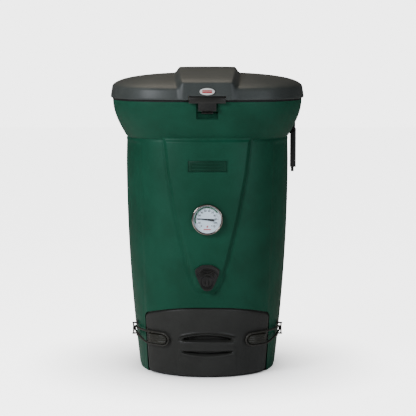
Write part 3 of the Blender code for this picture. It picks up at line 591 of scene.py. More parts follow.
def sheet_of_rows(name: str, rows: Sequence[np.ndarray], crown: Vector | None = None
                  ) -> bpy.types.Object:
    """Return a sheet through closed rows of points, ending in a crown point if one is given."""
    made = bmesh.new()
    layers = [[made.verts.new(point) for point in row] for row in rows]
    count = len(layers[0])
    for low, high in zip(layers, layers[1:]):
        for step in range(count):
            after = (step + 1) % count
            made.faces.new((low[step], low[after], high[after], high[step]))
    if crown is not None:
        top = made.verts.new(crown)
        for step in range(count):
            made.faces.new((layers[-1][step], layers[-1][(step + 1) % count], top))
    return to_object(made, name)


def relief(name: str, across: np.ndarray, up: np.ndarray, front: Field, back: Field
           ) -> bpy.types.Object:
    """Return a solid between two surfaces given as y over an x-z grid.

    Args:
        name: the object's name.
        across: the grid's x values.
        up: the grid's z values.
        front: gives y of the front surface.
        back: gives y of the back surface.

    Returns:
        The closed solid.
    """
    grid_x, grid_z = np.meshgrid(across, up)
    made = bmesh.new()
    layers = []
    for depth in (front(grid_x, grid_z), back(grid_x, grid_z)):
        layers.append([[made.verts.new((x, y, z)) for x, y, z in zip(*rows)]
                       for rows in zip(grid_x, depth, grid_z)])
    high, wide = grid_x.shape
    for sheet in layers:
        for row in range(high - 1):
            for col in range(wide - 1):
                made.faces.new((sheet[row][col], sheet[row][col + 1],
                                sheet[row + 1][col + 1], sheet[row + 1][col]))
    one, other = layers
    border = [(0, col) for col in range(wide)] + [(row, wide - 1) for row in range(1, high)]
    border += [(high - 1, col) for col in range(wide - 2, -1, -1)]
    border += [(row, 0) for row in range(high - 2, 0, -1)]
    for here, there in zip(border, border[1:] + border[:1]):
        made.faces.new((one[here[0]][here[1]], one[there[0]][there[1]],
                        other[there[0]][there[1]], other[here[0]][here[1]]))
    return to_object(made, name)


def edge_distance(outline: Outline, x: np.ndarray, z: np.ndarray) -> np.ndarray:
    """Return each point's distance to an outline, positive inside it.

    Args:
        outline: the corners in order.
        x: the points' x values.
        z: the points' z values.

    Returns:
        Signed distances in metres.
    """
    nearest = np.full(x.shape, 1e9)
    inside = np.zeros(x.shape, dtype=bool)
    for (x0, z0), (x1, z1) in zip(outline, list(outline[1:]) + [outline[0]]):
        run, rise = x1 - x0, z1 - z0
        share = ((x - x0) * run + (z - z0) * rise) / max(run * run + rise * rise, 1e-12)
        share = np.clip(share, 0.0, 1.0)
        gap = np.hypot(x - x0 - share * run, z - z0 - share * rise)
        nearest = np.minimum(nearest, gap)
        if rise:
            crossing = (z0 > z) != (z1 > z)
            inside ^= crossing & (x < x0 + (z - z0) * run / rise)
    return np.where(inside, nearest, -nearest)


def rounded_copy(node: str, width: float) -> bpy.types.Object:
    """Return a smooth-shaded copy of a frame node with its edges rounded.

    Args:
        node: the node whose mesh is copied.
        width: width of the rounding in metres, or 0 for none.

    Returns:
        The new object; the node itself is left as it is.
    """
    made = bmesh.new()
    made.from_mesh(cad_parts[node].data)
    bmesh.ops.remove_doubles(made, verts=made.verts, dist=SAME_POINT)
    bmesh.ops.dissolve_limit(made, angle_limit=math.radians(1.0), verts=made.verts,
                             edges=made.edges)
    made.normal_update()
    copy = to_object(made, f"{node}_fine")
    if not width:
        return copy
    bevel = copy.modifiers.new("rounding", "BEVEL")
    bevel.width = width
    bevel.segments = 2
    bevel.limit_method = "ANGLE"
    bevel.angle_limit = math.radians(28.0)
    bevel.use_clamp_overlap = True
    return evaluated(copy, 40.0)


def finish_piece(piece: bpy.types.Object, body: Body, slot: Slot, look: bpy.types.Material,
                 *stands_for: str) -> bpy.types.Object:
    """Give a piece its material and body, and hide the nodes that it stands for.

    Args:
        piece: the new object.
        body: the body that it rides on.
        slot: the record's material slot; not used.
        look: its material.
        stands_for: names of the frame nodes that it replaces.

    Returns:
        The piece.
    """
    piece.data.materials.clear()
    piece.data.materials.append(look)
    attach(piece, body.value)
    if stands_for:
        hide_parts(*stands_for)
    LOG.info("%s rides on %s", piece.name, body.value)
    return piece


def rounded_piece(node: str, width: float, body: Body, slot: Slot, look: bpy.types.Material
                  ) -> bpy.types.Object:
    """Replace a frame node by its rounded copy and dress the copy.

    Args:
        node: the node.
        width: width of the rounding in metres.
        body: the body that it rides on.
        slot: the record's material slot; not used.
        look: its material.

    Returns:
        The new piece.
    """
    return finish_piece(rounded_copy(node, width), body, slot, look, node)


def dress_node(node: str, look: bpy.types.Material) -> None:
    """Give a frame node that stays as it is its material."""
    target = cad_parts[node]
    if not target.material_slots:
        target.data.materials.append(look)
    for slot in target.material_slots:
        slot.material = look
    LOG.info("%s keeps its frame mesh", node)


# ---- the composter's own surfaces ------------------------------------------------------------
@dataclass(frozen=True)
class BodyForm:
    """The bin's rounded-square form, as level rings between the ground and the rim."""

    depth_ratio: float = 1.06
    base_half: float = 0.2440
    waist_half: float = 0.2905
    waist_z: float = 0.750
    neck_half: float = 0.2885
    neck_z: float = 0.832
    rim_half: float = 0.3346
    rim_z: float = 0.9635
    base_square: float = 2.15
    waist_square: float = 2.6
    rim_square: float = 3.1

    def half(self, z: np.ndarray) -> np.ndarray:
        """Return the half width at height z."""
        taper = self.waist_half - (self.waist_half - self.base_half) * (1 - z / self.waist_z) ** 2
        up = (z - self.waist_z) / (self.neck_z - self.waist_z)
        straight = self.waist_half + (self.neck_half - self.waist_half) * up
        share = np.clip((z - self.neck_z) / (self.rim_z - self.neck_z), 0.0, 1.0)
        flare = self.neck_half + (self.rim_half - self.neck_half) * np.sin(share * math.pi / 2)
        return np.where(z <= self.waist_z, taper, np.where(z <= self.neck_z, straight, flare))

    def square(self, z: np.ndarray) -> np.ndarray:
        """Return the superellipse exponent at height z: 2 is round, more is squarer."""
        low = self.base_square + (self.waist_square - self.base_square) * (
            np.maximum(z, 0.0) / self.neck_z)
        share = np.clip((z - self.neck_z) / (self.rim_z - self.neck_z), 0.0, 1.0)
        high = self.waist_square + (self.rim_square - self.waist_square) * share
        return np.where(z <= self.neck_z, low, high)

    def face_y(self, x: np.ndarray, z: np.ndarray, off: np.ndarray | float = 0.0) -> np.ndarray:
        """Return y on the front face, off metres outside it."""
        half = self.half(z) + off
        depth = self.half(z) * self.depth_ratio + off
        square = self.square(z)
        inner = 1 - np.minimum(np.abs(x) / half, 0.9999) ** square
        return -depth * inner ** (1 / square)

    def ring(self, turns: np.ndarray, z: float, off: float = 0.0) -> np.ndarray:
        """Return the points of a level ring, spaced by angle about the bin's axis."""
        height = np.array(z)
        half = float(self.half(height)) + off
        depth = float(self.half(height)) * self.depth_ratio + off
        square = float(self.square(height))
        return ring_points(turns, half, depth, np.full(turns.shape, square), z)


def ring_points(turns: np.ndarray, half: float | np.ndarray, depth: float | np.ndarray,
                square: np.ndarray, z: float | np.ndarray) -> np.ndarray:
    """Return points on a superellipse at the given angles.

    Args:
        turns: angles about the vertical axis.
        half: half width along x.
        depth: half width along y.
        square: the exponent at each angle.
        z: the height, one for all or one for each.

    Returns:
        One row of three for each angle.
    """
    across, along = np.cos(turns), np.sin(turns)
    reach = (np.abs(across / half) ** square + np.abs(along / depth) ** square) ** (-1 / square)
    return np.stack([reach * across, reach * along, np.broadcast_to(z, turns.shape)], axis=1)


def ring_angles(front: int, rear: int) -> np.ndarray:
    """Return angles once round the bin, with more of them on the front half."""
    ahead = np.pi + np.pi * (np.arange(front) + 0.5) / front
    behind = np.pi * (np.arange(rear) + 0.5) / rear
    return np.concatenate([ahead, behind])


FORM = BodyForm()


def middle_y(z: float, off: float = 0.0) -> float:
    """Return y of the front face at its middle, off metres outside the form."""
    return float(FORM.face_y(np.array(0.0), np.array(z), off))


@dataclass(frozen=True)
class Bin:
    """The double-walled bin: outer shell, liner, rim, tray and what sits inside the wall."""

    looks: Finishes
    wall: float = 0.005
    panel_rise: float = 0.008        # the raised V panel on the front
    panel_flank: float = 0.0145
    groove: float = 0.0020           # shallow groove round the panel and under the bowl
    panel_top: float = 0.838
    panel_tip: float = 0.300
    crease_top_x: float = 0.2325     # vertical edges of the flatter front face
    crease_low_x: float = 0.2180
    crease_foot: float = 0.22
    crease_depth: float = 0.0030
    crease_width: float = 0.016
    pocket_half: float = 0.037       # recess in the rim for the latch's tab
    pocket_low: float = 0.9050
    pocket_depth: float = 0.009
    notch_gap: float = 0.0053        # the rim ring's gap around that recess
    plate_z: float = 0.7434
    plate_half: tuple[float, float] = (0.066, 0.0195)
    plate_depth: float = 0.0058
    holes: tuple[tuple[float, ...], ...] = (   # radius, height, and y of both ends
        (0.0135, 0.040, 0.0, 0.5),             # drain, at the back
        (0.0235, 0.360, WELL_AHEAD, 0.0),      # air duct
        (0.0065, 0.5619, WELL_AHEAD, 0.0),     # thermometer's probe
    )
    hatch_gap: float = 0.003

    def panel_outline(self) -> list[tuple[float, float]]:
        """Return the raised V panel: two long edges that close in a round tip."""
        edge = [(0.151, self.panel_top), (0.138, 0.722), (0.108, 0.561), (0.069, 0.400)]
        tip = [(0.047, 0.336), (0.036, 0.316), (0.022, 0.304), (0.008, self.panel_tip)]
        return edge + tip + [(-x, z) for x, z in reversed(edge + tip)]

    def lift(self, points: np.ndarray) -> np.ndarray:
        """Return how far each point of a ring stands off the plain form.

        Args:
            points: x, y, z rows.

        Returns:
            The outward offset of each, in metres.
        """
        x, y, z = points.T
        ahead = y < 0
        inside = edge_distance(self.panel_outline(), x, z)
        raised = self.panel_rise * ease(inside / self.panel_flank)
        around = self.groove * bead(inside + 0.002, 0.0045)
        under_bowl = self.groove * bead(z - FORM.neck_z + 0.001, 0.004) * ease(-inside / 0.01)
        groove = np.maximum(around, under_bowl)
        share = np.clip((z - self.crease_foot) / (FORM.neck_z - self.crease_foot), 0.0, 1.0)
        crease = self.crease_low_x + (self.crease_top_x - self.crease_low_x) * share
        beyond = ease((np.abs(x) - crease) / self.crease_width + 0.5)
        fade = ease((FORM.neck_z - 0.004 - z) / 0.020)
        return np.where(ahead, raised - groove - self.crease_depth * beyond * fade, 0.0)

    def levels(self) -> np.ndarray:
        """Return the heights of the shell's rings, closer at the neck, panel ends and rim."""
        plain = np.linspace(0.0, FORM.rim_z, 130)
        neck = np.linspace(0.812, 0.842, 16)
        tip = np.linspace(0.296, 0.345, 18)
        return np.unique(np.round(np.concatenate([plain, neck, tip, [FORM.neck_z]]), 4))

    def shell(self) -> bpy.types.Object:
        """Build the outer shell with its V panel, front edges, recesses and holes."""
        turns = ring_angles(420, 130)
        rows = []
        for z in self.levels():
            ring = FORM.ring(turns, float(z))
            outward = np.stack([np.cos(turns), np.sin(turns) / FORM.depth_ratio,
                                np.zeros_like(turns)], axis=1)
            outward /= np.linalg.norm(outward, axis=1)[:, None]
            rows.append(ring + outward * self.lift(ring)[:, None])
        shell = thicken(sheet_of_rows("outer_shell_fine", rows), self.wall)
        hatch = Hatch(self.looks)
        carve(shell, prism("opening", hatch.outline(self.hatch_gap, 0.04), WELL_AHEAD, 0.0))
        tools = []
        for radius, z, near, far in self.holes:
            profile = [(0, near), (radius, near), (radius, far), (0, far)]
            tools.append(turned("hole", profile, (0, 0, z), 48))
        carve(shell, merged("tools", tools))
        for tool, pan in (self.latch_recess(), self.name_recess()):
            carve(shell, tool)
            finish_piece(pan, Body.BIN, Slot.GREEN, self.looks.shell)
        return finish_piece(shell, Body.BIN, Slot.GREEN, self.looks.shell, "outer_shell")

    def recess_back(self) -> float:
        """Return y of the latch recess's back."""
        return middle_y(FORM.rim_z) + self.pocket_depth

    def latch_recess(self) -> tuple[bpy.types.Object, bpy.types.Object]:
        """Build the recess in the rim for the latch's tab.

        Returns:
            The tool that opens the shell, and the pan that lines it.
        """
        half, low, top = self.pocket_half, self.pocket_low, FORM.rim_z
        deep, foot, wall = self.recess_back(), middle_y(low) + 0.0020, 0.003
        bend, above = low + 0.022, top + 0.05
        hollow = [(WELL_AHEAD, low - 0.001), (foot, low), (deep, bend), (deep, above),
                  (WELL_AHEAD, above)]
        outer = [(WELL_AHEAD, low - 0.004), (foot + 0.0025, low - wall), (deep + wall, bend),
                 (deep + wall, top - 0.0005), (WELL_AHEAD, top - 0.0005)]
        tool = side_prism("tool", hollow, -half, half)
        pan = side_prism("latch_recess", outer, -half - wall, half + wall)
        form = sheet_of_rows("form", [FORM.ring(ring_angles(200, 40), float(z), -0.0004)
                                      for z in np.linspace(0.88, 0.99, 24)])
        fill_ends(form)
        carve(pan, form, "INTERSECT")
        carve(pan, side_prism("hollow", hollow, -half, half))
        return tool, pan

    def name_recess(self) -> tuple[bpy.types.Object, bpy.types.Object]:
        """Build the shallow recess that holds the name plate.

        Returns:
            The tool that opens the shell, and the pan that lines it.
        """
        z, wall = self.plate_z, 0.002
        wide, high = self.plate_half
        face = middle_y(z, self.panel_rise)
        hollow = ((-wide, WELL_AHEAD, z - high), (wide, face + self.plate_depth, z + high))
        pan = box("plate_recess", (-wide - wall, face + 0.0010, z - high - wall),
                  (wide + wall, face + self.plate_depth + wall, z + high + wall))
        carve(pan, box("hollow", *hollow))
        return box("tool", *hollow), pan

    def rim(self) -> None:
        """Build the rim's ring and its rubber seal as smooth closed bands."""
        turns = ring_angles(200, 120)
        top = FORM.rim_z
        bands = (
            ("rim_ring", -0.0053, -0.045, top - 0.0087, top - 0.004, Slot.BLACK,
             self.looks.black),
            ("rim_seal", -0.024, -0.034, top - 0.0037, top - 0.0006, Slot.RUBBER,
             self.looks.rubber),
        )
        for node, outer, inner, low, high, slot, look in bands:
            loops = [(outer, low), (outer, high), (inner, high), (inner, low), (outer, low)]
            rows = [FORM.ring(turns, z, off) for off, z in loops]
            band = sheet_of_rows(f"{node}_fine", rows[:-1])
            close_band(band, len(turns))
            if node == "rim_ring":
                half, back = self.pocket_half + self.notch_gap, self.recess_back() + self.notch_gap
                carve(band, box("tool", (-half, WELL_AHEAD, 0.9), (half, back, 1.0)))
            finish_piece(band, Body.BIN, slot, look, node)

    def build(self) -> None:
        """Build the bin and dress the frame nodes inside it."""
        self.shell()
        self.rim()
        rounded_piece("inner_liner", 0.0, Body.BIN, Slot.GREEN, self.looks.shell)
        dress_node("wall_insulation", self.looks.foam)
        for node in ("base_tray", "floor_grate", "hatch_frame"):
            dress_node(node, self.looks.black)
        rounded_piece("name_plate", 0.0005, Body.BIN, Slot.GREEN, self.looks.plate)


def fill_ends(target: bpy.types.Object) -> None:
    """Close the open ends of a sheet of rows with one face each."""
    made = bmesh.new()
    made.from_mesh(target.data)
    border = [edge for edge in made.edges if edge.is_boundary]
    bmesh.ops.holes_fill(made, edges=border, sides=0)
    bmesh.ops.recalc_face_normals(made, faces=made.faces)
    made.to_mesh(target.data)
    made.free()


def close_band(target: bpy.types.Object, count: int) -> None:
    """Join a band's last row to its first, where each row has count points."""
    made = bmesh.new()
    made.from_mesh(target.data)
    made.verts.ensure_lookup_table()
    total = len(made.verts)
    for step in range(count):
        after = (step + 1) % count
        made.faces.new((made.verts[total - count + step], made.verts[total - count + after],
                        made.verts[after], made.verts[step]))
    bmesh.ops.recalc_face_normals(made, faces=made.faces)
    made.to_mesh(target.data)
    made.free()


@dataclass(frozen=True)
class Hatch:
    """The charcoal emptying hatch: cover with its grip and lugs, plug and seal."""

    looks: Finishes
    half: float = 0.2160
    foot_half: float = 0.2060
    top_z: float = 0.2480
    side_z: float = 0.2140
    foot_z: float = 0.0060
    proud: float = 0.006
    edge_radius: float = 0.0045
    corner_radius: float = 0.014
    foot_radius: float = 0.012
    bar_top: float = 0.1290          # the grip bar between the two finger pockets
    bar_low: float = 0.0950
    bar_height: float = 0.0022
    groove_depth: float = 0.0016
    pocket_half: float = 0.104
    brow: tuple[float, float] = (0.015, 0.018)   # upper pocket above the bar, and its bow
    chin: tuple[float, float] = (0.006, 0.012)   # lower pocket below the bar, and its bow
    shoulder_depth: float = 0.0050
    upper_depth: float = 0.0210
    lower_depth: float = 0.0200
    rim_height: float = 0.0022
    lip_height: float = 0.0012
    fold_half: float = 0.107         # upright folds below the grip
    fold_height: float = 0.0022
    lug_z: float = 0.1320
    lug_reach: tuple[float, float] = (0.141, 0.205)
    lug_half_height: float = 0.0165
    lug_height: float = 0.0225
    ridge_pitch: float = 0.0078
    spacing: float = 0.0019

    def arch(self, share: float) -> float:
        """Return the height of the arched top at a share of the half width."""
        return self.side_z + (self.top_z - self.side_z) * (1 - abs(share) ** 2.6)

    def outline(self, grow: float = 0.0, foot: float = 0.0) -> list[tuple[float, float]]:
        """Return the outline: an arched top, leaning sides, a foot and round corners.

        Args:
            grow: how much larger than the hatch the outline is.
            foot: how much further down the foot reaches.

        Returns:
            The outline's points in order.
        """
        wide, base = self.half + grow, self.foot_z - grow - foot
        ends = 1 - self.corner_radius / self.half
        reach, steps = wide * ends, 24
        shares = [ends * (1 - 2 * step / steps) for step in range(steps + 1)]
        top = [(wide * share, self.arch(share) + grow) for share in shares]
        side = self.arch(1.0) + grow - 0.004 - self.corner_radius
        turns = [math.pi / 2 * step / 6 for step in range(7)]
        corner = [(reach + (wide - reach) * math.cos(turn),
                   side + (top[0][1] - side) * math.sin(turn)) for turn in turns[:6]]
        points = corner + top + [(-x, z) for x, z in reversed(corner)]
        low = self.foot_half + grow - self.foot_radius
        for edge, order in ((-1, turns), (1, turns[::-1])):
            points += [(edge * (low + self.foot_radius * math.cos(turn)),
                        base + self.foot_radius * (1 - math.sin(turn))) for turn in order]
        return points

    def pockets(self, share: np.ndarray, z: np.ndarray) -> np.ndarray:
        """Return the depth of the two finger pockets, less the lips raised along them.

        Args:
            share: distance from the middle, 1 at the pockets' ends.
            z: up the face.

        Returns:
            The depth in metres, negative on the lips.
        """
        ends = ease((1 - share) / 0.16)
        bow = 1 - share ** 2
        brow = self.bar_top + self.brow[0] + self.brow[1] * bow
        above = ease((z - self.bar_top) / 0.005) * ends
        shoulder = self.shoulder_depth * ease((brow - z) / 0.006)
        hollow = self.upper_depth * ease((brow - 0.0085 - z) / 0.010)
        upper = (shoulder + hollow * ease((0.86 - share) / 0.14)) * above
        chin = self.bar_low - self.chin[0] - self.chin[1] * bow
        under = ease((self.bar_low - z) / 0.004) * ease((0.90 - share) / 0.16)
        lower = self.lower_depth * ease((z - chin) / 0.010) * under
        rim = self.rim_height * bead(z - brow - 0.002, 0.0030) * above
        lip = self.lip_height * bead(z - chin + 0.003, 0.0025) * ends
        return upper + lower - rim - lip

    def offset(self, x: np.ndarray, z: np.ndarray) -> np.ndarray:
        """Return how far the cover's face stands off the bin's form.

        Args:
            x: across the face.
            z: up the face.

        Returns:
            The outward offset, with round edges, grip, finger pockets and soft folds.
        """
        share = np.abs(x) / self.pocket_half
        ends = ease((1 - share) / 0.16)
        groove = self.groove_depth * bead(z - self.bar_top + 0.0052, 0.0016) * ends
        bar = self.bar_height * ease((z - self.bar_low + 0.001) / 0.006)
        bar = bar * ease((self.bar_top + 0.001 - z) / 0.005) * ends
        fold = self.fold_height * ease((self.fold_half - np.abs(x)) / 0.010)
        fold = fold * ease((self.bar_low + 0.008 - z) / 0.010)
        fall = quarter_round(edge_distance(self.outline(), x, z), self.edge_radius)
        return self.proud - fall - self.pockets(share, z) - groove + bar + fold

    def cover(self) -> bpy.types.Object:
        """Build the cover as one face with a thin wall behind it."""
        across = np.arange(-self.half - 0.003, self.half + 0.0031, self.spacing)
        up = np.arange(self.foot_z - 0.003, self.top_z + 0.004, self.spacing)

        def front(x: np.ndarray, z: np.ndarray) -> np.ndarray:
            """Return y of the outer face."""
            return FORM.face_y(x, z, self.offset(x, z))

        def back(x: np.ndarray, z: np.ndarray) -> np.ndarray:
            """Return y of the inner face."""
            return FORM.face_y(x, z, np.minimum(self.offset(x, z) - 0.0035, -0.0046))

        cover = relief("hatch_cover_fine", across, up, front, back)
        carve(cover, prism("outline", self.outline(), WELL_AHEAD, -0.05), "INTERSECT")
        return finish_piece(cover, Body.HATCH, Slot.CHARCOAL, self.looks.hatch, "hatch_cover")

    def lug(self, side: int, word: str) -> bpy.types.Object:
        """Build one bullet-shaped lug with the ridges moulded along it.

        Args:
            side: -1 for the left and 1 for the right.
            word: the side's name.

        Returns:
            The lug.
        """
        near, far = self.lug_reach
        tall = self.lug_half_height
        outline = [(far, self.lug_z - tall), (far, self.lug_z + tall)]
        for step in range(13):
            angle = math.radians(90 + 15 * step)
            outline.append((near + tall + tall * math.cos(angle),
                            self.lug_z + tall * math.sin(angle)))
        outline = [(side * x, z) for x, z in outline]

        def offset(x: np.ndarray, z: np.ndarray) -> np.ndarray:
            """Return the lug's outward offset, domed, ridged and sloping to its nose."""
            edge = np.clip(edge_distance(outline, x, z), 0.0, 1.0)
            ridges = 0.0012 * np.abs(np.sin((z - self.lug_z) / self.ridge_pitch * math.pi))
            slope = 0.0060 * ease((near + 0.034 - np.abs(x)) / 0.034)
            return self.lug_height - quarter_round(edge, 0.0050) - slope - ridges * ease(
                edge / 0.006)

        reach = sorted((side * (near - 0.002), side * (far + 0.002)))
        across = np.linspace(reach[0], reach[1], 60)
        up = np.linspace(self.lug_z - tall - 0.002, self.lug_z + tall + 0.002, 38)
        lug = relief(f"hatch_lug_{word}", across, up,
                     lambda x, z: FORM.face_y(x, z, offset(x, z)),
                     lambda x, z: FORM.face_y(x, z, 0.003))
        carve(lug, prism("outline", outline, WELL_AHEAD, -0.05), "INTERSECT")
        return finish_piece(lug, Body.HATCH, Slot.CHARCOAL, self.looks.lug)

    def build(self) -> None:
        """Build the hatch."""
        self.cover()
        for side, word in ((-1, "left"), (1, "right")):
            self.lug(side, word)
        dress_node("hatch_plug", self.looks.black)
        dress_node("hatch_seal", self.looks.rubber)


@dataclass(frozen=True)
class Loops:
    """The two rubber loops that hold the hatch, and the side hooks they catch on."""

    looks: Finishes

    def build(self) -> None:
        """Build both loops from the frame's route and both hooks with round edges."""
        words = (("left", Body.LOOP_LEFT), ("right", Body.LOOP_RIGHT))
        for word, body in words:
            node = f"rubber_loop_{word}"
            made = bmesh.new()
            made.from_mesh(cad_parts[node].data)
            bmesh.ops.remove_doubles(made, verts=made.verts, dist=SAME_POINT)
            loop = to_object(made, f"{node}_fine", 80.0)
            finer = loop.modifiers.new("round", "SUBSURF")
            finer.levels = finer.render_levels = 2
            evaluated(loop, 80.0)
            finish_piece(loop, body, Slot.RUBBER, self.looks.rubber, node)
            rounded_piece(f"side_hook_{word}", 0.0005, Body.BIN, Slot.BLACK, self.looks.black)


@dataclass(frozen=True)
class Lid:
    """The domed grey lid: skirt, dome, raised middle band, badge, liner and vent."""

    looks: Finishes
    wall: float = 0.0045
    low_z: float = 0.9641
    lip_half: float = 0.3420
    lip_z: float = 0.9735
    edge_half: float = 0.3372
    edge_z: float = 1.0056
    dome: float = 0.0495
    side_fullness: float = 2.25      # exponents of the dome's profile
    front_fullness: float = 1.70
    band_front: tuple[float, float] = (0.079, 0.103)
    band_crest: tuple[float, float] = (0.098, 0.118)
    band_rise: float = 0.0200
    band_proud: float = 0.0070
    skirt_half: float = 0.278        # the flat front of the skirt ends here
    skirt_proud: float = 0.0016
    front_from: float = 0.27         # the band stands proud only near the front and back
    front_run: float = 0.07
    vent_pitch: float = 0.007
    seam: float = 0.0066             # height of the dark gasket under the lid's edge, which paints the gap's shade
    notch_half: float = 0.0635
    notch_top: float = 0.9840
    notch_back: float = -0.3480

    def column_fullness(self, turns: np.ndarray) -> np.ndarray:
        """Return the dome's profile exponent at each angle: fuller at the sides."""
        frontal = np.abs(np.sin(turns)) ** 2
        return self.side_fullness + (self.front_fullness - self.side_fullness) * frontal

    def rows(self, turns: np.ndarray) -> list[np.ndarray]:
        """Return the lid's rings from the bottom lip to near the crown."""
        square = np.full(turns.shape, FORM.rim_square)
        ratio = FORM.depth_ratio
        result = []
        foot = self.low_z + self.seam
        skirt = [(foot, self.lip_half - 0.0012), (foot + 0.0012, self.lip_half - 0.0004),
                 (self.lip_z, self.lip_half)]
        steps = 14
        for step in range(1, steps + 1):
            share = step / steps
            skirt.append((self.lip_z + (self.edge_z - self.lip_z) * share,
                          self.lip_half + (self.edge_half - self.lip_half) * share ** 1.3))
        for z, half in skirt:
            result.append(ring_points(turns, half, half * ratio, square, z))
        power = 2 / self.column_fullness(turns)
        steps = 84
        for step in range(1, steps):
            angle = math.pi / 2 * (step / steps) ** 1.12
            half = (self.edge_half - 0.002) * math.cos(angle) ** power + 0.002
            z = self.edge_z + self.dome * math.sin(angle) ** power
            result.append(ring_points(turns, half, half * ratio, square, z))
        return result

    def raised(self, points: np.ndarray) -> np.ndarray:
        """Return points moved for the raised band and the flat front of the skirt."""
        x, y, z = points.T
        climb = np.clip((z - self.edge_z) / self.dome, 0.0, 1.0)
        inner = self.band_front[0] + (self.band_crest[0] - self.band_front[0]) * climb
        outer = self.band_front[1] + (self.band_crest[1] - self.band_front[1]) * climb
        band = ease((outer - np.abs(x)) / (outer - inner))
        lift = ease((z - self.lip_z) / (self.edge_z - self.lip_z)) * self.band_rise
        steep = ease((np.abs(y) - self.front_from) / self.front_run)
        flat = ease((self.skirt_half - np.abs(x)) / 0.008) * ease((self.edge_z + 0.001 - z) / 0.003)
        out = np.sign(y) * steep * (band * self.band_proud + flat * self.skirt_proud * (1 - band))
        return np.stack([x, y + out, z + band * lift], axis=1)

    def cover(self) -> bpy.types.Object:
        """Build the lid's cover with its notch and rear vent slots."""
        turns = ring_angles(400, 300)
        rows = [self.raised(row) for row in self.rows(turns)]
        crown = Vector((0, 0, self.edge_z + self.dome + self.band_rise))
        cover = thicken(sheet_of_rows("lid_cover_fine", rows, crown), self.wall)
        rear = FORM.rim_half * FORM.depth_ratio
        tools = [box("notch", (-self.notch_half, WELL_AHEAD, 0.90),
                     (self.notch_half, self.notch_back, self.notch_top))]
        for step in range(3):
            z = 0.988 + self.vent_pitch * step
            tools.append(box("vent", (-0.030, rear - 0.03, z - 0.0015),
                             (0.030, rear + 0.05, z + 0.0015)))
        carve(cover, merged("tools", tools))
        return finish_piece(cover, Body.LID, Slot.GREY, self.looks.lid, "lid_cover")

    def gasket(self) -> None:
        """Build the gasket that closes the gap between the lid and the rim, darkened into painted
        shade of that gap.
        """
        turns = ring_angles(200, 120)
        square = np.full(turns.shape, FORM.rim_square)
        outer, inner = self.lip_half - 0.0070, self.lip_half - 0.0130
        top = self.low_z + self.seam + 0.0030
        loops = [(outer, self.low_z + 0.0002), (outer, top), (inner, top),
                 (inner, self.low_z + 0.0002)]
        band = sheet_of_rows("lid_gasket_painted_shade", [
            ring_points(turns, half, half * FORM.depth_ratio, square, z) for half, z in loops])
        close_band(band, len(turns))
        carve(band, box("notch", (-self.notch_half, WELL_AHEAD, 0.90),
                        (self.notch_half, self.notch_back, self.notch_top)))
        finish_piece(band, Body.LID, Slot.RUBBER, self.looks.gasket)

    def badge(self) -> None:
        """Build a plain oval badge with two bars in place of any mark."""
        low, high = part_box("lid_badge")
        centre = (low + high) / 2
        half = (high.x - low.x) / 2
        flat = (high.z - low.z) / (high.x - low.x)
        front = low.y - centre.y
        plate = turned("lid_badge_fine", [
            (0, front), (half * 0.90, front), (half * 0.965, front + 0.0003),
            (half, front + 0.0011), (half, 0.0018), (0, 0.0018),
        ], centre, 96, flat)
        finish_piece(plate, Body.LID, Slot.BADGE, self.looks.badge, "lid_badge")
        for step, wide in ((0.22, 0.66), (-0.22, 0.66)):
            z = centre.z + step * half * flat
            bar = box(f"badge_bar_{round(step * 100) + 50}",
                      (-half * wide, low.y - 0.0003, z - half * flat * 0.17),
                      (half * wide, low.y + 0.0006, z + half * flat * 0.17), 0.0001)
            finish_piece(bar, Body.LID, Slot.BADGE, self.looks.red_ink)

    def build(self) -> None:
        """Build the lid and dress what it carries."""
        self.cover()
        self.gasket()
        self.badge()
        for node in ("lid_liner", "vent_grille"):
            dress_node(node, self.looks.black)
        dress_node("lid_insulation", self.looks.foam)
        for word in ("left", "right"):
            rounded_piece(f"hinge_arm_{word}", 0.0008, Body.LID, Slot.GREY, self.looks.lid)
            rounded_piece(f"hinge_bracket_{word}", 0.0008, Body.BIN, Slot.BLACK,
                          self.looks.black)
            dress_node(f"hinge_pin_{word}", self.looks.plated)


@dataclass(frozen=True)
class Latch:
    """The front latch: lever with a thumb tab, its pin and the keeper in the rim."""

    looks: Finishes

    def build(self) -> None:
        """Build the lever and keeper with round edges."""
        rounded_piece("latch_lever", 0.0009, Body.LATCH, Slot.BLACK, self.looks.black)
        rounded_piece("latch_keeper", 0.0004, Body.BIN, Slot.BLACK, self.looks.black)
        dress_node("latch_pin", self.looks.plated)


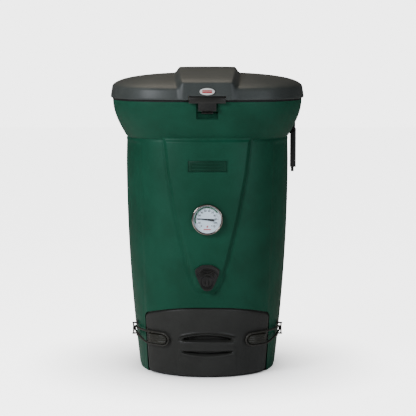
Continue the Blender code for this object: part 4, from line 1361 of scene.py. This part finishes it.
@dataclass(frozen=True)
class Thermometer:
    """The dial thermometer: polished bezel, printed dial, pointer, lens and probe."""

    looks: Finishes
    scale_start: float = 228.0       # degrees round the dial where the scale begins
    scale_sweep: float = -276.0
    marks: int = 12                  # long ticks, each with a number
    fine: int = 5                    # steps between two long ticks
    tick_radius: float = 0.0386
    number_radius: float = 0.0298
    number_height: float = 0.0090
    band_radii: tuple[float, float] = (0.0392, 0.0442)
    band_reach: tuple[float, float] = (198.0, 34.0)
    rim_round: float = 0.0034        # radius of the bezel's rounded rim
    ink: float = 0.0001              # how far print stands off the dial

    def middle(self) -> tuple[float, float]:
        """Return y of the dial's face and z of its middle."""
        low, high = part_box("gauge_dial")
        return low.y, (low.z + high.z) / 2

    def printed(self, name: str, outline: Outline, look: bpy.types.Material, lift: float = 1.2
                ) -> bpy.types.Object:
        """Print an outline on the dial.

        Args:
            name: the piece's name.
            outline: x and z of its corners, z from the dial's middle.
            look: its ink.
            lift: how far it stands off, in thicknesses of ink.

        Returns:
            The print as a thin solid.
        """
        face, z = self.middle()
        flat = prism(name, [(x, z + up) for x, up in outline], face - lift * self.ink,
                     face + self.ink)
        return finish_piece(flat, Body.BIN, Slot.DIAL, look)

    def bezel(self) -> None:
        """Turn the bezel with its rounded rim."""
        z = self.middle()[1]
        low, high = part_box("gauge_bezel")
        radius, bend = (high.x - low.x) / 2, self.rim_round
        profile = [(radius - 0.0032, 0.0120), (radius - 0.0012, 0.0120), (radius, 0.0095)]
        for step in range(13):
            angle = math.radians(15 * step)
            profile.append((radius - bend + bend * math.cos(angle),
                            0.0042 * (1 - math.sin(angle))))
        profile += [(radius - 2 * bend, 0.0027), (radius - 0.0032, 0.0027)]
        bezel = turned("gauge_bezel_fine", profile, (0, low.y, z), 128)
        finish_piece(bezel, Body.BIN, Slot.STEEL, self.looks.bright, "gauge_bezel")

    def dial(self) -> None:
        """Turn the dial with its softened edge and a hole for the spindle."""
        face, z = self.middle()
        low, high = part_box("gauge_dial")
        edge, thick, hole = high.x, high.y - low.y, 0.003
        profile = [(hole, 0), (edge - 0.0004, 0), (edge, 0.0003), (edge, thick), (hole, thick)]
        dial = turned("gauge_dial_fine", profile, (0, face, z), 96)
        finish_piece(dial, Body.BIN, Slot.DIAL, self.looks.dial, "gauge_dial")

    def green_band(self) -> None:
        """Print the green arc that marks the working range."""
        inner, outer = self.band_radii
        start, end = self.band_reach
        angles = [math.radians(start + (end - start) * step / 60) for step in range(61)]
        outline = [(outer * math.cos(a), outer * math.sin(a)) for a in angles]
        outline += [(inner * math.cos(a), inner * math.sin(a)) for a in reversed(angles)]
        self.printed("gauge_green_band", outline, self.looks.green_ink)

    def spoke(self, share: float) -> Vector:
        """Return the direction, in x and z, at a share of the scale."""
        angle = math.radians(self.scale_start + self.scale_sweep * share)
        return Vector((math.cos(angle), math.sin(angle)))

    def ticks(self) -> None:
        """Print the long and short ticks as one piece."""
        face, z = self.middle()
        made = bmesh.new()
        total = (self.marks - 1) * self.fine
        for step in range(total + 1):
            long, wide = (0.0038, 0.0007) if step % self.fine == 0 else (0.0022, 0.0004)
            spoke = self.spoke(step / total)
            side = Vector((-spoke.y, spoke.x)) * wide
            far, near = spoke * self.tick_radius, spoke * (self.tick_radius - long)
            corners = [far + side, far - side, near - side, near + side]
            add_prism(made, [(c.x, z + c.y) for c in corners], face - self.ink, face + self.ink)
        ticks = to_object(made, "gauge_ticks")
        finish_piece(ticks, Body.BIN, Slot.DIAL, self.looks.black_ink)

    def number(self, value: int, spot: Vector) -> bpy.types.Object:
        """Return a number as a thin upright mesh.

        Args:
            value: the number.
            spot: its middle.

        Returns:
            The mesh object.
        """
        words = bpy.data.curves.new("number", "FONT")
        words.body = str(value)
        words.size = self.number_height
        words.offset = 0.00030
        words.align_x = "CENTER"
        words.align_y = "CENTER"
        words.extrude = self.ink
        words.resolution_u = 2
        flat = bpy.data.objects.new("number", words)
        bpy.context.scene.collection.objects.link(flat)
        bpy.context.view_layer.update()
        graph = bpy.context.evaluated_depsgraph_get()
        mesh = bpy.data.meshes.new_from_object(flat.evaluated_get(graph))
        bpy.data.objects.remove(flat, do_unlink=True)
        mesh.transform(Matrix.Translation(spot) @ Matrix.Rotation(math.pi / 2, 4, "X"))
        upright = bpy.data.objects.new("number", mesh)
        bpy.context.scene.collection.objects.link(upright)
        return upright

    def numbers(self) -> None:
        """Print the scale's plain numbers as one piece."""
        face, z = self.middle()
        digits = []
        for step in range(self.marks):
            place = self.spoke(step / (self.marks - 1)) * self.number_radius
            digits.append(self.number(step * 10, Vector((place.x, face, z + place.y))))
        finish_piece(merged("gauge_numbers", digits), Body.BIN, Slot.DIAL, self.looks.black_ink)

    def build(self) -> None:
        """Build the thermometer's visible pieces and dress the rest."""
        self.bezel()
        self.dial()
        self.green_band()
        self.ticks()
        self.numbers()
        red = self.looks.red_ink
        self.printed("gauge_red_mark", [(-0.0030, -0.0240), (0.0020, -0.0195),
                                        (0.0034, -0.0250), (-0.0012, -0.0295)], red)
        self.printed("gauge_red_stripe", [(-0.0125, -0.0325), (0.0125, -0.0325),
                                          (0.0125, -0.0362), (-0.0125, -0.0362)], red)
        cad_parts["gauge_lens"].visible_shadow = False
        dress_node("gauge_lens", self.looks.lens)
        rounded_piece("gauge_pointer", 0.0002, Body.POINTER, Slot.BLACK, self.looks.black_ink)
        dress_node("gauge_case", self.looks.bright)
        for node in ("gauge_probe", "gauge_nut"):
            dress_node(node, self.looks.plated)


@dataclass(frozen=True)
class AirValve:
    """The shield-shaped air inlet with its knob, duct and inner grille."""

    looks: Finishes
    bar_height: float = 0.0045
    shield: tuple[tuple[float, float], ...] = (   # half width by height above the tip
        (0.0050, 0.0004), (0.0095, 0.0018), (0.0150, 0.0060), (0.0205, 0.0135),
        (0.0262, 0.0240), (0.0318, 0.0365), (0.0368, 0.0490), (0.0402, 0.0590),
        (0.0416, 0.0665), (0.0414, 0.0720), (0.0388, 0.0780), (0.0330, 0.0830),
        (0.0240, 0.0872), (0.0120, 0.0905),
    )
    ridge_radii: tuple[float, ...] = (0.0250, 0.0300, 0.0350, 0.0400)
    ridge_centre: float = 0.3500
    ridge_half: float = 0.0300       # half the reach of the longest ridge
    sides: int = 10

    def ridges(self) -> None:
        """Build the arched ridges above the knob, as half-sunk tubes."""
        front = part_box("valve_housing")[0].y
        made = bmesh.new()
        for radius in self.ridge_radii:
            reach = math.acos(min(1.0, self.ridge_half / (radius + 0.008)))
            angles = [math.pi / 2 + (math.pi / 2 - reach) * (step / 10 - 1) for step in range(21)]
            rings = []
            for angle in angles:
                spoke = Vector((math.cos(angle), 0, math.sin(angle)))
                spot = spoke * radius + Vector((0, front + 0.0022, self.ridge_centre))
                turns = [2 * math.pi * step / self.sides for step in range(self.sides)]
                rings.append([made.verts.new(spot + spoke * 0.0013 * math.cos(turn)
                                             + Vector((0, 0.0026 * math.sin(turn), 0)))
                              for turn in turns])
            for one, other in zip(rings, rings[1:]):
                for step in range(self.sides):
                    after = (step + 1) % self.sides
                    made.faces.new((one[step], one[after], other[after], other[step]))
            made.faces.new(rings[0])
            made.faces.new(rings[-1])
        ridges = to_object(made, "valve_ridges")
        finish_piece(ridges, Body.BIN, Slot.BLACK, self.looks.black)

    def build(self) -> None:
        """Build the housing and knob with round edges."""
        housing = rounded_copy("valve_housing", 0.0007)
        low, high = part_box("valve_housing")
        half = [(x, low.z + z) for x, z in self.shield]
        shield = half + [(-x, z) for x, z in reversed(half)]
        carve(housing, prism("shield", shield, low.y - 0.05, low.y + 0.05), "INTERSECT")
        finish_piece(housing, Body.BIN, Slot.BLACK, self.looks.black, "valve_housing")
        self.ridges()
        low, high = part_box("valve_knob")
        centre = (0.0, 0.0, (low.z + high.z) / 2)
        radius = (high.x - low.x) / 2
        front = low.y + self.bar_height
        knob = turned("valve_knob_fine", [
            (0, front + 0.0004), (radius * 0.55, front + 0.0004), (radius * 0.62, front),
            (radius - 0.0022, front), (radius - 0.0006, front + 0.0006), (radius, front + 0.0022),
            (radius, high.y), (0, high.y)], centre, 72)
        finish_piece(knob, Body.AIR, Slot.BLACK, self.looks.black, "valve_knob")
        bar = box("valve_knob_bar", (-0.0032, low.y, centre[2] - radius * 0.82),
                  (0.0032, front + 0.003, centre[2] + radius * 0.82), 0.0012)
        finish_piece(bar, Body.AIR, Slot.BLACK, self.looks.black)
        for node in ("air_duct", "duct_grille"):
            dress_node(node, self.looks.black)


@dataclass(frozen=True)
class SideFittings:
    """The hanging flat bar beside the rim, and the drain at the back."""

    looks: Finishes
    tongue: float = 0.016            # length of the narrow end of the bar
    reach: float = 0.010             # how much longer the bar is than its frame node
    wider: float = 0.003

    def build(self) -> None:
        """Build the bar, its bracket and the drain with round edges."""
        low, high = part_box("lid_stay")
        low.z -= self.reach
        high.x += self.wider
        bar = box("lid_stay_fine", (low.x, low.y, low.z + self.tongue), high, 0.0012)
        finish_piece(bar, Body.STAY, Slot.BLACK, self.looks.black, "lid_stay")
        tongue = box("lid_stay_tongue", (low.x + 0.0035, low.y + 0.0008, low.z),
                     (high.x - 0.0075, high.y - 0.0008, low.z + self.tongue + 0.006), 0.0010)
        finish_piece(tongue, Body.STAY, Slot.BLACK, self.looks.black)
        rounded_piece("stay_bracket", 0.0007, Body.BIN, Slot.BLACK, self.looks.black)
        dress_node("stay_bolt", self.looks.blackened)
        rounded_piece("drain_spout", 0.0006, Body.BIN, Slot.BLACK, self.looks.black)
        rounded_piece("drain_cap", 0.0008, Body.CAP, Slot.BLACK, self.looks.black)


@dataclass(frozen=True)
class Studio:
    """Pale floor, white surround, soft lights and the camera."""

    eye: tuple[float, float, float] = (0.0026, -5.6, 1.2)
    pitch: float = 6.463             # degrees below level
    lens_mm: float = 134.92
    room_light: float = 0.08         # what the white room gives the composter
    backdrop: float = 4.2            # how white the backdrop looks
    shade_reach: float = 0.45        # how far the painted shadow spreads from the foot
    floor_glow: float = 3.9          # lifts the paper towards the backdrop

    def floor(self) -> None:
        """Lay a wide pale floor under the composter."""
        made = bmesh.new()
        bmesh.ops.create_grid(made, x_segments=4, y_segments=4, size=14.0)
        floor = to_object(made, "studio_floor")
        floor.location.z = -0.0005
        graph = Graph("studio_paper")
        graph.bump(graph.noise(2.0), 0.05, 0.1)
        # Painted shadow: ambient occlusion darkens the floor's glow near the composter's foot.
        painted_shadow_ao = add_node(graph.tree, "ShaderNodeAmbientOcclusion", {"samples": 8},
                       {"Distance": self.shade_reach}).outputs["AO"]
        share = add_node(graph.tree, "ShaderNodeMath", {"operation": "POWER"}, {1: 2.2},
                         {0: painted_shadow_ao}).outputs["Value"]
        painted_shadow_glow = add_node(graph.tree, "ShaderNodeMath", {"operation": "MULTIPLY"},
                          {1: self.floor_glow}, {0: share}).outputs["Value"]
        glow = add_node(graph.tree, "ShaderNodeMath", {"operation": "MULTIPLY"},
                        links={0: seen_by_camera(graph.tree), 1: painted_shadow_glow}).outputs["Value"]
        # Matt white paper with a camera-only glow that keeps it pale; ambient occlusion dims the
        # glow into a painted shadow by the foot.
        floor.data.materials.append(graph.dressed({
            "Base Color": linear("#FBFBFB"), "Roughness": 0.9, "Emission Color": (1, 1, 1, 1),
        }, {"Emission Strength": glow}))

    def surround(self) -> None:
        """Light the room white from everywhere."""
        world = bpy.data.worlds.new("studio")
        world.use_nodes = True
        tree = world.node_tree
        strength = add_node(tree, "ShaderNodeMapRange", values={
            "To Min": self.room_light, "To Max": self.backdrop,
        }, links={"Value": seen_by_camera(tree)})
        ground = tree.nodes["Background"]
        ground.inputs["Color"].default_value = (1, 1, 1, 1)
        tree.links.new(strength.outputs["Result"], ground.inputs["Strength"])
        bpy.context.scene.world = world

    def lamp(self, name: str, place: tuple[float, float, float], size: float, power: float,
             colour: str = "#FFFFFF") -> None:
        """Hang a soft square light that faces the composter's middle."""
        light = bpy.data.lights.new(name, "AREA")
        light.shape = "SQUARE"
        light.size = size
        light.energy = power
        light.color = linear(colour)[:3]
        lamp = bpy.data.objects.new(name, light)
        lamp.location = place
        aim = Vector((0, 0, 0.55)) - Vector(place)
        lamp.rotation_euler = aim.to_track_quat("-Z", "Y").to_euler()
        bpy.context.scene.collection.objects.link(lamp)

    def camera(self) -> None:
        """Set the camera, level across and slightly above the rim."""
        data = bpy.data.cameras.new("camera")
        data.lens = self.lens_mm
        data.sensor_width = 36.0
        camera = bpy.data.objects.new("camera", data)
        camera.location = self.eye
        camera.rotation_euler = (math.radians(90 - self.pitch), 0, 0)
        bpy.context.scene.collection.objects.link(camera)
        bpy.context.scene.camera = camera

    def build(self) -> None:
        """Set up the studio."""
        self.floor()
        self.surround()
        self.lamp("key", (-2.6, -2.8, 2.4), 1.3, 120.0, "#F4F8FF")
        self.lamp("fill", (2.6, -3.4, 1.2), 1.6, 36.0, "#EEF5FF")
        self.lamp("top", (-0.4, 0.6, 3.0), 1.8, 26.0, "#FFF1DD")
        self.camera()


def main() -> None:
    """Build every sub-assembly in order."""
    logging.basicConfig(level=logging.INFO, format="%(name)s: %(message)s")
    Studio().build()
    looks = Finishes.make()
    for assembly in (Bin(looks), Hatch(looks), Loops(looks), Lid(looks), Latch(looks),
                     Thermometer(looks), AirValve(looks), SideFittings(looks)):
        LOG.info("building %s", type(assembly).__name__)
        assembly.build()


if __name__ == "__main__":
    main()
